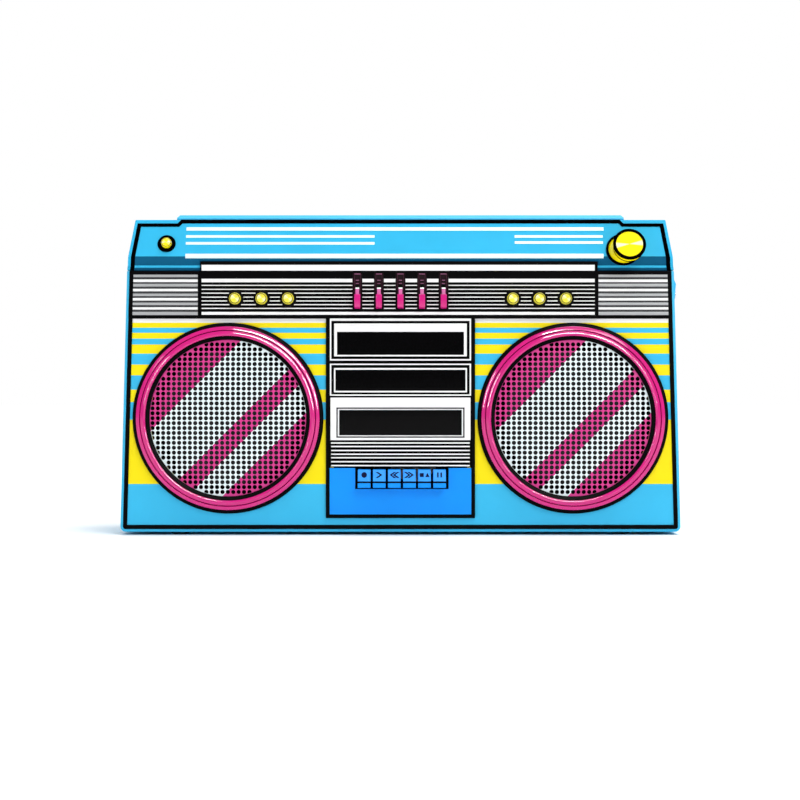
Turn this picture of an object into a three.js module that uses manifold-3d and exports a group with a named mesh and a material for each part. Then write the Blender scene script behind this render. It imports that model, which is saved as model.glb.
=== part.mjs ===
// A large portable stereo cassette radio, as an assembly of separate solids.
// Millimetres. +X is to the right of someone facing it, -Y is the front and +Z is up.
// The origin is on the surface it stands on, under the middle of its bounding box.

import * as THREE from "three";
import { mergeVertices } from "three/addons/utils/BufferGeometryUtils.js";
import Module from "manifold-3d";

const wasm = await Module();
wasm.setup();

// ---------------------------------------------------------------- driving dimensions

const WALL = 3; // moulded case wall
const GAP = 0.4; // clearance between two fixed pieces
const FOOT_HEIGHT = 3;

const FRONT_Y = -62; // front face of the baffle
const SPLIT_Y = -2; // where the front and rear halves meet
const BACK_Y = 88;
const DECK_Z = 326; // flat top behind the hood
const SHOULDER_Z = 285; // where the hood meets the baffle
const TOP_Z = 341; // top edge of the hood

const HALF_BASE = 303; // half the case's width at FOOT_HEIGHT
const HALF_SHOULDER = 295.6;
const HALF_TOP = 287.5;

const SLOPE_FOOT = { y: -67, z: 299.5 }; // lower edge of the hood's sloping face
const SLOPE_TOP = { y: -53, z: TOP_Z };
const HOOD_BACK_Y = -50.5;

const SPEAKER_X = 186;
const SPEAKER_Z = 126;
const RING_OUTER = 103;
const GRILLE_RADIUS = 84.8;
const BAFFLE_HOLE = 84;
const FLANGE_RADIUS = 88; // the woofer's mounting flange, behind the baffle

const STRIP_HALF = 215.5; // the control panel, across the top of the baffle
const STRIP_LOW = 234;
const STRIP_HIGH = 294.6;
const STRIP_FRONT_Y = -66;
const KNOB_ROW_Z = 254.7;
const KNOB_FIRST_X = 121; // the innermost knob of each three
const KNOB_PITCH = 28.5;
const KNOB_RADIUS = 6.3;
const SLIDER_PITCH = 23.2;
const SLIDER_COUNT = 5;
const SLOT_LOW = 243;
const SLOT_HIGH = 282.7;

const COLUMN_HALF = 76.5; // the column of windows, tape door and keys
const COLUMN_FRONT_Y = -65;
const COLUMN_HOLE_HALF = 72;
const TUNER_GLASS = { half: 68.5, low: 194.3, high: 219.2 };
const METER_GLASS = { half: 70.6, low: 155.3, high: 178.1 };

const DOOR_HALF = 75.5;
const DOOR_LOW = 73.3;
const DOOR_HIGH = 148.3;
const DOOR_FRONT_Y = -66;
const DOOR_GLASS = { half: 66, low: 107.9, high: 134.6 };

const KEY_PANEL_LOW = 18.5;
const KEY_PANEL_HIGH = 72;
const KEY_COUNT = 6;
const KEY_PITCH = 16.2;
const KEY_WIDTH = 14.2;
const KEYS_X = 1.5; // middle of the row of keys

const SPINDLE_X = 21.25; // half the distance between a compact cassette's hubs
const SPINDLE_Z = 112.5;
const CAPSTAN = { x: 14, z: 84 };
const DECK_PLATE_Y = -42; // front face of the tape deck's back wall

const HANDLE_HALF = 243;
const HANDLE_ARM = 18; // thickness of each arm, along X
const HANDLE_PIVOT = { y: 10, z: 337 };
const HANDLE_RADIUS = 10;
const GRIP_FRONT_Y = -47.5;
const GRIP_BACK_Y = -25.5;

const BATTERY_COVER = { half: 131, low: 17, high: 99, thick: 2.6 };
const BATTERY_POCKET = { half: 128, low: 20, high: 96, front: 46 };

const ANTENNA = { x: 262, y: 76, z: 334.5 };
const TUBE_LENGTH = 300;

const JACKS = { front: -46, back: -16, low: 240, peak: 272, high: 280, depth: 281 };
const JACK_RADIUS = 3.6;
const JACK_YS = [-38, -24];
const JACK_Z = 260;

const INLET = { x: 235, half: 13, low: 30, high: 48 };

const TUNING_KNOB = { x: 244.7, z: 306.2, radius: 16.6, edge: 1.2 };
const KNOB_BOSS = { height: 9, footX: -5, footZ: 1.4 }; // the fixed boss under it leans to one side
const POWER_BUTTON = { x: -252.4, z: 314.2 };

// ---------------------------------------------------------------- materials

function material(color, roughness, metalness = 0) {
  return new THREE.MeshStandardMaterial({ color, roughness, metalness });
}

const caseBlue = material(0x44c3ee, 0.35);
const keyBlue = material(0x009dff, 0.35);
const magenta = material(0xea2994, 0.3);
const yellow = material(0xffec00, 0.3);
const white = material(0xf6f6f6, 0.4);
const black = material(0x0b0b0d, 0.45);
const smoked = material(0x050506, 0.08);
const silver = material(0xb6b6b6, 0.3, 0.9);
const steel = material(0x8c8f94, 0.4, 0.9);
const paper = material(0x26262a, 0.9);
const rubber = material(0x141416, 0.85);
const board = material(0x1d5b34, 0.6);
const copper = material(0x7b4a26, 0.6);

// ---------------------------------------------------------------- solids

/** A closed geometry as a solid, turned right side out if it was made inside out. */
function solid(geometry) {
  const bare = geometry.index ? geometry.toNonIndexed() : geometry.clone();
  bare.deleteAttribute("normal");
  bare.deleteAttribute("uv");
  const merged = mergeVertices(bare, 1e-4);
  const corners = new Uint32Array(merged.index.array);
  const build = () =>
    new wasm.Manifold(
      new wasm.Mesh({ numProp: 3, vertProperties: merged.attributes.position.array, triVerts: corners }),
    );
  const made = build();
  if (made.volume() >= 0) return made;
  for (let i = 0; i < corners.length; i += 3) {
    [corners[i + 1], corners[i + 2]] = [corners[i + 2], corners[i + 1]];
  }
  return build();
}

/** A solid as a three.js geometry. */
function geometryOf(made) {
  const mesh = made.getMesh();
  const positions = new Float32Array(mesh.numVert * 3);
  for (let i = 0; i < mesh.numVert; i += 1) {
    positions.set(mesh.vertProperties.subarray(i * mesh.numProp, i * mesh.numProp + 3), i * 3);
  }
  const geometry = new THREE.BufferGeometry();
  geometry.setAttribute("position", new THREE.BufferAttribute(positions, 3));
  geometry.setIndex(new THREE.BufferAttribute(mesh.triVerts, 1));
  geometry.computeVertexNormals();
  return geometry;
}

const join = (first, ...others) => others.reduce((sum, other) => sum.add(other), first);
const cut = (first, ...tools) => tools.reduce((left, tool) => left.subtract(tool), first);

function box(x0, x1, y0, y1, z0, z1) {
  const geometry = new THREE.BoxGeometry(x1 - x0, y1 - y0, z1 - z0);
  return solid(geometry.translate((x0 + x1) / 2, (y0 + y1) / 2, (z0 + z1) / 2));
}

function extruded(points, depth, matrix) {
  const shape = new THREE.Shape(points.map(([a, b]) => new THREE.Vector2(a, b)));
  const geometry = new THREE.ExtrudeGeometry(shape, { depth, bevelEnabled: false });
  return solid(geometry.applyMatrix4(matrix));
}

/** An outline of [x, z] points, filled from y0 to y1. */
function slab(points, y0, y1) {
  const turn = new THREE.Matrix4().makeRotationX(Math.PI / 2).setPosition(0, y1, 0);
  return extruded(points, y1 - y0, turn);
}

/** A profile of [y, z] points, swept along X from x0 to x1. */
function bar(points, x0, x1) {
  const turn = new THREE.Matrix4().makeBasis(
    new THREE.Vector3(0, 1, 0),
    new THREE.Vector3(0, 0, 1),
    new THREE.Vector3(1, 0, 0),
  );
  return extruded(points, x1 - x0, turn.setPosition(x0, 0, 0));
}

/** A profile of [radius, y] points, turned about an axis along Y through (x, z). */
function turned(points, segments, x = 0, z = 0) {
  const profile = points.map(([r, y]) => new THREE.Vector2(r, y));
  return solid(new THREE.LatheGeometry(profile, segments).translate(x, 0, z));
}

/** A round bar along "x", "y" or "z", from low to high, through the point (a, b) of the other two axes. */
function rod(axis, radius, low, high, a, b, segments = 24) {
  const geometry = new THREE.CylinderGeometry(radius, radius, high - low, segments);
  const middle = (low + high) / 2;
  if (axis === "x") return solid(geometry.rotateZ(Math.PI / 2).translate(middle, a, b));
  if (axis === "y") return solid(geometry.translate(a, middle, b));
  return solid(geometry.rotateX(Math.PI / 2).translate(a, b, middle));
}

/** The points of an arc about (a, b), from one angle to another in degrees. */
function arc(a, b, radius, from, to, steps) {
  return Array.from({ length: steps + 1 }, (_, i) => {
    const angle = THREE.MathUtils.degToRad(from + ((to - from) * i) / steps);
    return [a + radius * Math.cos(angle), b + radius * Math.sin(angle)];
  });
}

const boombox = new THREE.Group();

function add(name, made, look, parent = boombox) {
  const mesh = new THREE.Mesh(geometryOf(made), look);
  mesh.name = name;
  parent.add(mesh);
  return mesh;
}

// ---------------------------------------------------------------- the case

/** Half the case's width at a height: it tapers a little to the shoulder, and more above it. */
function halfWidth(z) {
  if (z <= SHOULDER_Z) {
    return THREE.MathUtils.mapLinear(z, FOOT_HEIGHT, SHOULDER_Z, HALF_BASE, HALF_SHOULDER);
  }
  return THREE.MathUtils.mapLinear(z, SHOULDER_Z, TOP_Z, HALF_SHOULDER, HALF_TOP);
}

/** The case's outline between two heights, drawn in by inset at both sides. */
function caseOutline(low, high, inset = 0) {
  const heights = [low, ...(low < SHOULDER_Z && high > SHOULDER_Z ? [SHOULDER_Z] : []), high];
  const right = heights.map((z) => [halfWidth(z) - inset, z]);
  const left = right.map(([x, z]) => [-x, z]).reverse();
  return [...right, ...left];
}

function frontShell() {
  const outer = slab(caseOutline(FOOT_HEIGHT, SHOULDER_Z), FRONT_Y, SPLIT_Y);
  const inside = slab(
    caseOutline(FOOT_HEIGHT + WALL, SHOULDER_Z + 1, WALL),
    FRONT_Y + WALL,
    SPLIT_Y + 1,
  );
  const speakerHoles = [-1, 1].map((side) =>
    rod("y", BAFFLE_HOLE, FRONT_Y - 1, FRONT_Y + WALL + 1, side * SPEAKER_X, SPEAKER_Z, 48),
  );
  const columnHole = box(-COLUMN_HOLE_HALF, COLUMN_HOLE_HALF, -70, -50, 24, 228);
  const stripHole = box(-208, 208, -70, -50, 240, SHOULDER_Z + 1);
  const jackHole = box(270, 310, JACKS.front - GAP, JACKS.back + GAP, JACKS.low - GAP, JACKS.high + GAP);
  return cut(outer, inside, ...speakerHoles, columnHole, stripHole, jackHole);
}

/** The sockets' raised plate, which stands 4 mm out of the right-hand side at its peak. */
function jackPlate() {
  const outline = [
    [JACKS.depth, JACKS.low],
    [halfWidth(JACKS.low) + 0.5, JACKS.low],
    [halfWidth(JACKS.peak) + 4, JACKS.peak],
    [halfWidth(JACKS.high) + 0.7, JACKS.high],
    [JACKS.depth, JACKS.high],
  ];
  const holes = JACK_YS.map((y) => rod("x", JACK_RADIUS, JACKS.depth + 3, 310, y, JACK_Z, 16));
  return cut(slab(outline, JACKS.front, JACKS.back), ...holes);
}

function rearShell() {
  const front = SPLIT_Y + GAP;
  const outer = slab(caseOutline(FOOT_HEIGHT, DECK_Z), front, BACK_Y);
  const inside = slab(
    caseOutline(FOOT_HEIGHT + WALL, DECK_Z - WALL, WALL),
    front - 1,
    BACK_Y - WALL,
  );
  const cover = BATTERY_COVER;
  const pocket = BATTERY_POCKET;
  const rim = 3.5;
  const pocketWalls = box(
    -cover.half - rim,
    cover.half + rim,
    pocket.front - WALL,
    BACK_Y - WALL + 1,
    cover.low - rim,
    cover.high + rim,
  );
  const pocketSpace = box(-pocket.half, pocket.half, pocket.front, BACK_Y, pocket.low, pocket.high);
  const coverSeat = box(
    -cover.half - 0.5,
    cover.half + 0.5,
    BACK_Y - WALL,
    BACK_Y + 1,
    cover.low - 0.5,
    cover.high + 0.5,
  );
  const inletHole = box(
    INLET.x - INLET.half - GAP,
    INLET.x + INLET.half + GAP,
    70,
    BACK_Y + 1,
    INLET.low - GAP,
    INLET.high + GAP,
  );
  const antennaHole = rod("z", 4.5, 300, 340, ANTENNA.x, ANTENNA.y);
  const hollow = cut(outer, inside);
  return cut(join(hollow, pocketWalls, ...handleEars()), pocketSpace, coverSeat, inletHole, antennaHole);
}

/** The two ears on the deck that hold the handle's trunnions. */
function handleEars() {
  const { y, z } = HANDLE_PIVOT;
  const profile = [
    [y + HANDLE_RADIUS, DECK_Z - 1],
    ...arc(y, z, HANDLE_RADIUS, 0, 180, 12),
    [y - HANDLE_RADIUS, DECK_Z - 1],
  ];
  const inner = HANDLE_HALF + 1;
  const outer = inner + 9;
  return [-1, 1].map((side) => {
    const ear = bar(profile, Math.min(side * inner, side * outer), Math.max(side * inner, side * outer));
    return cut(ear, rod("x", 4.5, -270, 270, y, z));
  });
}

/** The hood along the top of the front: its end walls, sloping face, ridge and front half of the deck. */
function hood() {
  const profile = [
    [FRONT_Y + 1, SHOULDER_Z + GAP],
    [FRONT_Y + 1, 290.3],
    [SLOPE_FOOT.y, SLOPE_FOOT.z],
    [SLOPE_TOP.y, SLOPE_TOP.z],
    [HOOD_BACK_Y, TOP_Z],
    [HOOD_BACK_Y, DECK_Z],
    [SPLIT_Y, DECK_Z],
    [SPLIT_Y, SHOULDER_Z + GAP],
  ];
  const inner = [
    [FRONT_Y + 4, SHOULDER_Z - 1],
    [FRONT_Y + 4, 291],
    [SLOPE_FOOT.y + 3.5, SLOPE_FOOT.z],
    [SLOPE_FOOT.y + 11.4, DECK_Z - WALL],
    [SPLIT_Y + 1, DECK_Z - WALL],
    [SPLIT_Y + 1, SHOULDER_Z - 1],
  ];
  const outline = slab(caseOutline(SHOULDER_Z, TOP_Z), -80, 0);
  const inset = slab(caseOutline(SHOULDER_Z - 2, TOP_Z, WALL), -80, 5);
  const outer = bar(profile, -300, 300).intersect(outline);
  const inside = bar(inner, -300, 300).intersect(inset);
  const notch = box(-STRIP_HALF - GAP, STRIP_HALF + GAP, -70, FRONT_Y + 5, 280, STRIP_HIGH + GAP);
  const shaftHole = onSlope(rod("y", 3.6, -12, 12, 0, 0), TUNING_KNOB);
  const buttonHole = onSlope(rod("y", 6.7, -12, 12, 0, 0), POWER_BUTTON);
  const hollow = cut(outer, inside, notch);
  return cut(join(hollow, knobBoss()), shaftHole, buttonHole);
}

/** The boss that the tuning knob turns on, wider than its shaft and leaning to its foot on the hood. */
function knobBoss() {
  const { height, footX, footZ } = KNOB_BOSS;
  const foot = rod("y", TUNING_KNOB.radius, -0.3, 0.4, footX, footZ, 32);
  const head = rod("y", TUNING_KNOB.radius, -height, 0.5 - height, 0, 0, 32);
  return onSlope(wasm.Manifold.hull([foot, head]), TUNING_KNOB);
}

/** How far the hood's face leans back, in radians. */
const LEAN = Math.atan2(SLOPE_TOP.y - SLOPE_FOOT.y, SLOPE_TOP.z - SLOPE_FOOT.z);

/** The Y of the hood's sloping face at a height. */
function slopeY(z) {
  return THREE.MathUtils.mapLinear(z, SLOPE_FOOT.z, SLOPE_TOP.z, SLOPE_FOOT.y, SLOPE_TOP.y);
}

/** Moves a solid made about the Y axis to a place on the sloping face, with -Y along the face's normal. */
function onSlope(made, place) {
  const turn = new THREE.Matrix4().makeRotationX(-LEAN);
  turn.setPosition(place.x, slopeY(place.z), place.z);
  return made.transform(turn.elements);
}

add("front_shell", frontShell(), caseBlue);
add("jack_plate", jackPlate(), caseBlue);
add("rear_shell", rearShell(), caseBlue);
add("top_panel", hood(), caseBlue);

for (const [side, name] of [[-1, "left_end_trim"], [1, "right_end_trim"]]) {
  const low = STRIP_LOW + 1.6;
  const high = SHOULDER_Z - GAP;
  const outline = [
    [side * (STRIP_HALF + 1.5), low],
    [side * (halfWidth(low) - 4), low],
    [side * (halfWidth(high) - 4), high],
    [side * (STRIP_HALF + 1.5), high],
  ];
  add(name, slab(outline, FRONT_Y - 3, FRONT_Y), silver);
}

const FOOT_PLACES = {
  front_left: [-240, -36],
  front_right: [240, -36],
  rear_left: [-240, 64],
  rear_right: [240, 64],
};
for (const [place, [x, y]] of Object.entries(FOOT_PLACES)) {
  const shape = new THREE.CylinderGeometry(12, 10.5, FOOT_HEIGHT, 24);
  add(`${place}_foot`, solid(shape.rotateX(Math.PI / 2).translate(x, y, FOOT_HEIGHT / 2)), rubber);
}

// ---------------------------------------------------------------- the rear

function batteryCover() {
  const { half, low, high, thick } = BATTERY_COVER;
  return box(-half, half, BACK_Y - thick, BACK_Y, low, high);
}

/** The mains inlet: a block in the back wall with a figure-of-eight socket's recess. */
function mainsInlet() {
  const block = box(INLET.x - INLET.half, INLET.x + INLET.half, 72, BACK_Y, INLET.low, INLET.high);
  const middle = (INLET.low + INLET.high) / 2;
  const recess = box(INLET.x - 8.5, INLET.x + 8.5, 76, BACK_Y + 1, middle - 4.5, middle + 4.5);
  return cut(block, recess);
}

function transformer() {
  const core = box(150, 205, 32, 68, 6, 52);
  const winding = box(158, 197, 24, 76, 13, 45);
  return join(core, winding);
}

add("battery_cover", batteryCover(), caseBlue);
add("mains_inlet", mainsInlet(), black);
add("transformer", transformer(), copper);

// ---------------------------------------------------------------- handle

function handle() {
  const { y, z } = HANDLE_PIVOT;
  const low = z - HANDLE_RADIUS;
  const high = z + HANDLE_RADIUS;
  const chamfer = 4;
  const frontEnd = [
    [GRIP_FRONT_Y + chamfer, high],
    [GRIP_FRONT_Y, high - chamfer],
    [GRIP_FRONT_Y, low + chamfer],
    [GRIP_FRONT_Y + chamfer, low],
  ];
  const armProfile = [...frontEnd, ...arc(y, z, HANDLE_RADIUS, -90, 90, 12)];
  const gripProfile = [
    ...frontEnd,
    [GRIP_BACK_Y - chamfer, low],
    [GRIP_BACK_Y, low + chamfer],
    [GRIP_BACK_Y, high - chamfer],
    [GRIP_BACK_Y - chamfer, high],
  ];
  const inner = HANDLE_HALF - HANDLE_ARM;
  const pieces = [bar(gripProfile, -HANDLE_HALF, HANDLE_HALF)];
  const corners = [];
  for (const side of [-1, 1]) {
    const ends = [side * inner, side * HANDLE_HALF].sort((a, b) => a - b);
    pieces.push(bar(armProfile, ...ends));
    const pin = [side * (HANDLE_HALF - 2), side * (HANDLE_HALF + 9)].sort((a, b) => a - b);
    pieces.push(rod("x", 4, ...pin, y, z));
    const corner = [
      [side * (HANDLE_HALF + 1), high + 1],
      [side * (HANDLE_HALF + 1), high - chamfer],
      [side * (HANDLE_HALF - chamfer), high + 1],
    ];
    corners.push(slab(corner, GRIP_FRONT_Y - 1, y + HANDLE_RADIUS + 1));
  }
  return cut(join(...pieces), ...corners);
}

add("handle", handle(), caseBlue);

// ---------------------------------------------------------------- speakers

const RING_PROFILE = [
  [GRILLE_RADIUS + 0.4, FRONT_Y],
  [GRILLE_RADIUS + 0.4, FRONT_Y - 4],
  [88.7, FRONT_Y - 8],
  [92, FRONT_Y - 9.5],
  [96, FRONT_Y - 8.5],
  [99, FRONT_Y - 5],
  [RING_OUTER, FRONT_Y - 2],
  [RING_OUTER, FRONT_Y],
];
const GRILLE_PROFILE = [
  [0, FRONT_Y - 8],
  [50, FRONT_Y - 6.8],
  [GRILLE_RADIUS, FRONT_Y - 3],
  [GRILLE_RADIUS, FRONT_Y],
  [GRILLE_RADIUS - 1.5, FRONT_Y],
  [GRILLE_RADIUS - 1.5, FRONT_Y - 1.6],
  [50, FRONT_Y - 5.3],
  [0, FRONT_Y - 6.5],
];
const FLANGE_Y = FRONT_Y + WALL + 0.3;
const BASKET_PROFILE = [
  [0, -12],
  [42, -12],
  [70, -46],
  [79, -52],
  [80, FLANGE_Y],
  [FLANGE_RADIUS, FLANGE_Y],
  [FLANGE_RADIUS, FLANGE_Y + 3],
  [83, FLANGE_Y + 5],
  [74, -43],
  [47, -9],
  [47, 12],
  [0, 12],
];
const CONE_PROFILE = [
  [0, -42],
  [14, -39],
  [19, -33],
  [74, -56],
  [74, -54.6],
  [19, -30],
  [18, -18],
  [16.5, -18],
  [16.5, -30],
  [0, -34],
];

for (const [side, name] of [[-1, "left"], [1, "right"]]) {
  const x = side * SPEAKER_X;
  const ring = turned([...RING_PROFILE, RING_PROFILE[0]], 40, x, SPEAKER_Z);
  add(`${name}_speaker_ring`, ring, magenta);
  add(`${name}_speaker_grille`, turned(GRILLE_PROFILE, 32, x, SPEAKER_Z), white);
  add(`${name}_woofer_basket`, turned(BASKET_PROFILE, 32, x, SPEAKER_Z), steel);
  add(`${name}_woofer_cone`, turned(CONE_PROFILE, 32, x, SPEAKER_Z), paper);
}

// ---------------------------------------------------------------- hood controls

function tuningKnob() {
  const clear = KNOB_BOSS.height + 0.6;
  const { radius, edge, z } = TUNING_KNOB;
  const mostForward = -BACK_Y;
  const reach = (slopeY(z) - mostForward - (radius - edge) * Math.sin(LEAN)) / Math.cos(LEAN);
  const profile = [
    [0, -reach],
    [radius - edge, -reach],
    [radius, edge - reach],
    [radius, -clear],
    [3, -clear],
    [3, 16],
    [0, 16],
  ];
  return onSlope(turned(profile, 32), TUNING_KNOB);
}

function powerButton() {
  const profile = [
    [0, -5],
    [5.2, -5],
    [6, -4.2],
    [6, 5.5],
    [8.5, 5.5],
    [8.5, 8.5],
    [0, 8.5],
  ];
  return onSlope(turned(profile, 24), POWER_BUTTON);
}

add("tuning_knob", tuningKnob(), yellow);
add("power_button", powerButton(), yellow);

// ---------------------------------------------------------------- control panel

const KNOBS = [
  ["volume_knob", -2],
  ["balance_knob", -1],
  ["tone_knob", 0],
];
const BUTTONS = [
  ["tape_button", 0],
  ["radio_button", 1],
  ["line_in_button", 2],
];
const KNOB_PLACES = [
  ...KNOBS.map(([name, step]) => ({ name, x: step * KNOB_PITCH - KNOB_FIRST_X, end: -43 })),
  ...BUTTONS.map(([name, step]) => ({ name, x: step * KNOB_PITCH + KNOB_FIRST_X, end: -46 })),
];
const SLIDER_NAMES = ["low_bass", "bass", "middle", "treble", "high_treble"];
const sliderX = (i) => (i - (SLIDER_COUNT - 1) / 2) * SLIDER_PITCH;

function controlPanel() {
  const plate = box(-STRIP_HALF, STRIP_HALF, STRIP_FRONT_Y, FRONT_Y, STRIP_LOW, STRIP_HIGH);
  const slots = SLIDER_NAMES.map((_, i) =>
    box(sliderX(i) - 5.2, sliderX(i) + 5.2, -70, -60, SLOT_LOW, SLOT_HIGH),
  );
  const holes = KNOB_PLACES.map(({ x }) => rod("y", KNOB_RADIUS + 0.9, -70, -60, x, KNOB_ROW_Z, 20));
  return cut(plate, ...slots, ...holes);
}

function smallKnob(x, end) {
  const face = STRIP_FRONT_Y - 8;
  const profile = [
    [0, face],
    [5.2, face],
    [5.6, face + 0.6],
    [KNOB_RADIUS, STRIP_FRONT_Y - 1],
    [KNOB_RADIUS, STRIP_FRONT_Y + 1.5],
    [2.5, STRIP_FRONT_Y + 1.5],
    [2.5, end],
    [0, end],
  ];
  return turned(profile, 20, x, KNOB_ROW_Z);
}

/** A slider cap with its raised pointer above it and its stem through the slot, at the bottom of its travel. */
function slider(x) {
  const back = STRIP_FRONT_Y - 0.6;
  const low = SLOT_LOW + 0.7;
  const block = bar(
    [
      [back, low],
      [back - 7, low + 1.5],
      [back - 8, low + 7.5],
      [back - 7, low + 15.6],
      [back, low + 15.6],
    ],
    x - 3.5,
    x + 3.5,
  );
  const pointer = bar(
    [
      [back, low + 15],
      [back - 6, low + 15],
      [back - 3.5, low + 22.8],
      [back, low + 22.8],
    ],
    x - 2,
    x + 2,
  );
  return join(block, pointer, box(x - 1.5, x + 1.5, back - 1, -43, low + 4, low + 10));
}

add("control_panel", controlPanel(), black);
for (const { name, x, end } of KNOB_PLACES) {
  add(name, smallKnob(x, end), yellow);
}
SLIDER_NAMES.forEach((name, i) => add(`${name}_slider`, slider(sliderX(i)), magenta));
add("control_board", box(-200, 200, -42, -40.4, 242, 281), board);

// ---------------------------------------------------------------- windows

/** The hole that a window's glass fits into. */
function opening(glass) {
  return box(-glass.half, glass.half, -70, -60, glass.low, glass.high);
}

function pane(glass, y0, y1) {
  return box(-glass.half + GAP, glass.half - GAP, y0, y1, glass.low + GAP, glass.high - GAP);
}

const fascia = box(-COLUMN_HALF, COLUMN_HALF, COLUMN_FRONT_Y, FRONT_Y, DOOR_HIGH + 1, STRIP_LOW - GAP);
add("window_fascia", cut(fascia, opening(TUNER_GLASS), opening(METER_GLASS)), white);
add("tuner_window", pane(TUNER_GLASS, COLUMN_FRONT_Y + 0.6, FRONT_Y), smoked);
add("meter_window", pane(METER_GLASS, COLUMN_FRONT_Y + 0.6, FRONT_Y), smoked);
add("tuner_dial", box(-70, 70, -57, -55.5, 190, 224), paper);
add("level_meter", box(-68, 68, -60, -50, 155.5, 178), paper);

/** The tuner's needle on its carriage, at the middle of its travel. */
const needle = box(-0.8, 0.8, -60.5, -59.3, 193, 222);
add("dial_pointer", join(needle, box(-5, 5, -60.5, -57.6, 220.5, 225)), magenta);

// ---------------------------------------------------------------- tape door

/** The door's frame, with a guide rail behind it at each side of the cassette. */
function tapeDoor() {
  const profile = [
    [DOOR_FRONT_Y, DOOR_HIGH],
    [DOOR_FRONT_Y, DOOR_LOW],
    [FRONT_Y - 2.6, DOOR_LOW],
    [FRONT_Y, DOOR_LOW + 3.6], // cut away, so that the edge clears the case as the door tips
    [FRONT_Y, DOOR_HIGH],
  ];
  const plate = bar(profile, -DOOR_HALF, DOOR_HALF);
  const rails = [-1, 1].map((side) => {
    const ends = [side * 53, side * 56].sort((a, b) => a - b);
    return bar(
      [
        [FRONT_Y - 1, 78],
        [-50, 80],
        [-50, 138],
        [FRONT_Y - 1, 144],
      ],
      ...ends,
    );
  });
  return join(cut(plate, opening(DOOR_GLASS)), ...rails);
}

add("cassette_door", tapeDoor(), white);
add("cassette_window", pane(DOOR_GLASS, DOOR_FRONT_Y + 0.6, FRONT_Y - 1), smoked);

// ---------------------------------------------------------------- tape deck

/** The tray behind the door: its back wall carries the spindles and the capstan. */
function deckChassis() {
  const tray = box(-66, 66, -58.6, DECK_PLATE_Y + 3, 72.6, 152);
  const well = box(-62.5, 62.5, -60, DECK_PLATE_Y, 75, 149.5);
  const spindleHoles = [-1, 1].map((side) => rod("y", 3.6, -50, -30, side * SPINDLE_X, SPINDLE_Z, 20));
  const capstanHole = rod("y", 1.9, -50, -30, CAPSTAN.x, CAPSTAN.z, 16);
  return cut(tray, well, ...spindleHoles, capstanHole);
}

const SPINDLE_PROFILE = [
  [0, DECK_PLATE_Y - 11],
  [2.2, DECK_PLATE_Y - 11],
  [4.6, DECK_PLATE_Y - 7],
  [4.6, DECK_PLATE_Y - 1],
  [3, DECK_PLATE_Y - 1],
  [3, DECK_PLATE_Y + 4.5],
  [14, DECK_PLATE_Y + 4.5],
  [14, DECK_PLATE_Y + 8],
  [0, DECK_PLATE_Y + 8],
];
// The capstan and flywheel in one, with the small pulley whose belt drives the take-up spindle.
const FLYWHEEL_PROFILE = [
  [0, DECK_PLATE_Y - 10],
  [1.3, DECK_PLATE_Y - 10],
  [1.3, DECK_PLATE_Y + 4.5],
  [4.2, DECK_PLATE_Y + 4.5],
  [4.2, DECK_PLATE_Y + 9],
  [28, DECK_PLATE_Y + 9],
  [28, DECK_PLATE_Y + 16],
  [0, DECK_PLATE_Y + 16],
];

add("deck_chassis", deckChassis(), steel);
add("supply_spindle", turned(SPINDLE_PROFILE, 20, -SPINDLE_X, SPINDLE_Z), white);
add("take_up_spindle", turned(SPINDLE_PROFILE, 20, SPINDLE_X, SPINDLE_Z), white);
add("capstan_flywheel", turned(FLYWHEEL_PROFILE, 24, CAPSTAN.x, CAPSTAN.z), steel);

// ---------------------------------------------------------------- key panel

const KEY_NAMES = ["record", "play", "rewind", "fast_forward", "stop_eject", "pause"];
const KEY_OPENING_HALF = (KEY_COUNT * KEY_PITCH) / 2 + 1;

function keyPanel() {
  const plate = box(-COLUMN_HALF, COLUMN_HALF, COLUMN_FRONT_Y, FRONT_Y, KEY_PANEL_LOW, KEY_PANEL_HIGH);
  return cut(plate, box(KEYS_X - KEY_OPENING_HALF, KEYS_X + KEY_OPENING_HALF, -70, -60, 53, 80));
}

/** A piano key: its sloping top carries the symbol, and its lip hangs in front of the panel. */
const KEY_PROFILE = [
  [-40, 70.5],
  [-66, 71],
  [-76, 58.6],
  [-76, 52],
  [-73, 51],
  [-66, 57],
  [-40, 57],
];

add("key_panel", keyPanel(), keyBlue);
KEY_NAMES.forEach((name, i) => {
  const x = KEYS_X + (i - (KEY_COUNT - 1) / 2) * KEY_PITCH;
  add(`${name}_key`, bar(KEY_PROFILE, x - KEY_WIDTH / 2, x + KEY_WIDTH / 2), keyBlue);
});

// ---------------------------------------------------------------- telescopic antenna, stowed towards -X

/** A round tube along X, open at its far end, with a closed near end. */
function tube(outer, inner, near, far, closed) {
  const { y, z } = ANTENNA;
  return cut(rod("x", outer, far, near, y, z, 16), rod("x", inner, far - 1, near - closed, y, z, 16));
}

function antennaSwivel() {
  const { x, y, z } = ANTENNA;
  const base = join(rod("z", 9, DECK_Z + GAP, 329, x, y), rod("z", 4, 316, DECK_Z + 2, x, y));
  const lug = join(box(x - 4, x + 4, y - 2, y + 2, 328, z), rod("y", 4, y - 2, y + 2, x, z));
  return cut(join(base, lug), rod("y", 1.9, y - 5, y + 5, x, z));
}

/** The largest tube, with the fork and pin that it tilts on. */
function antennaTube() {
  const { x, y, z } = ANTENNA;
  const barrel = tube(4, 3.3, x - 9, x - 9 - TUBE_LENGTH, 6);
  const block = box(x - 13, x - 6.5, y - 5.5, y + 5.5, z - 4, z + 4);
  const cheeks = [-1, 1].flatMap((side) => {
    const [low, high] = [y + side * 2.5, y + side * 5.5].sort((a, b) => a - b);
    return [box(x - 8, x, low, high, z - 4, z + 4), rod("y", 4, low, high, x, z)];
  });
  return join(barrel, block, ...cheeks, rod("y", 1.5, y - 5, y + 5, x, z));
}

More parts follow.
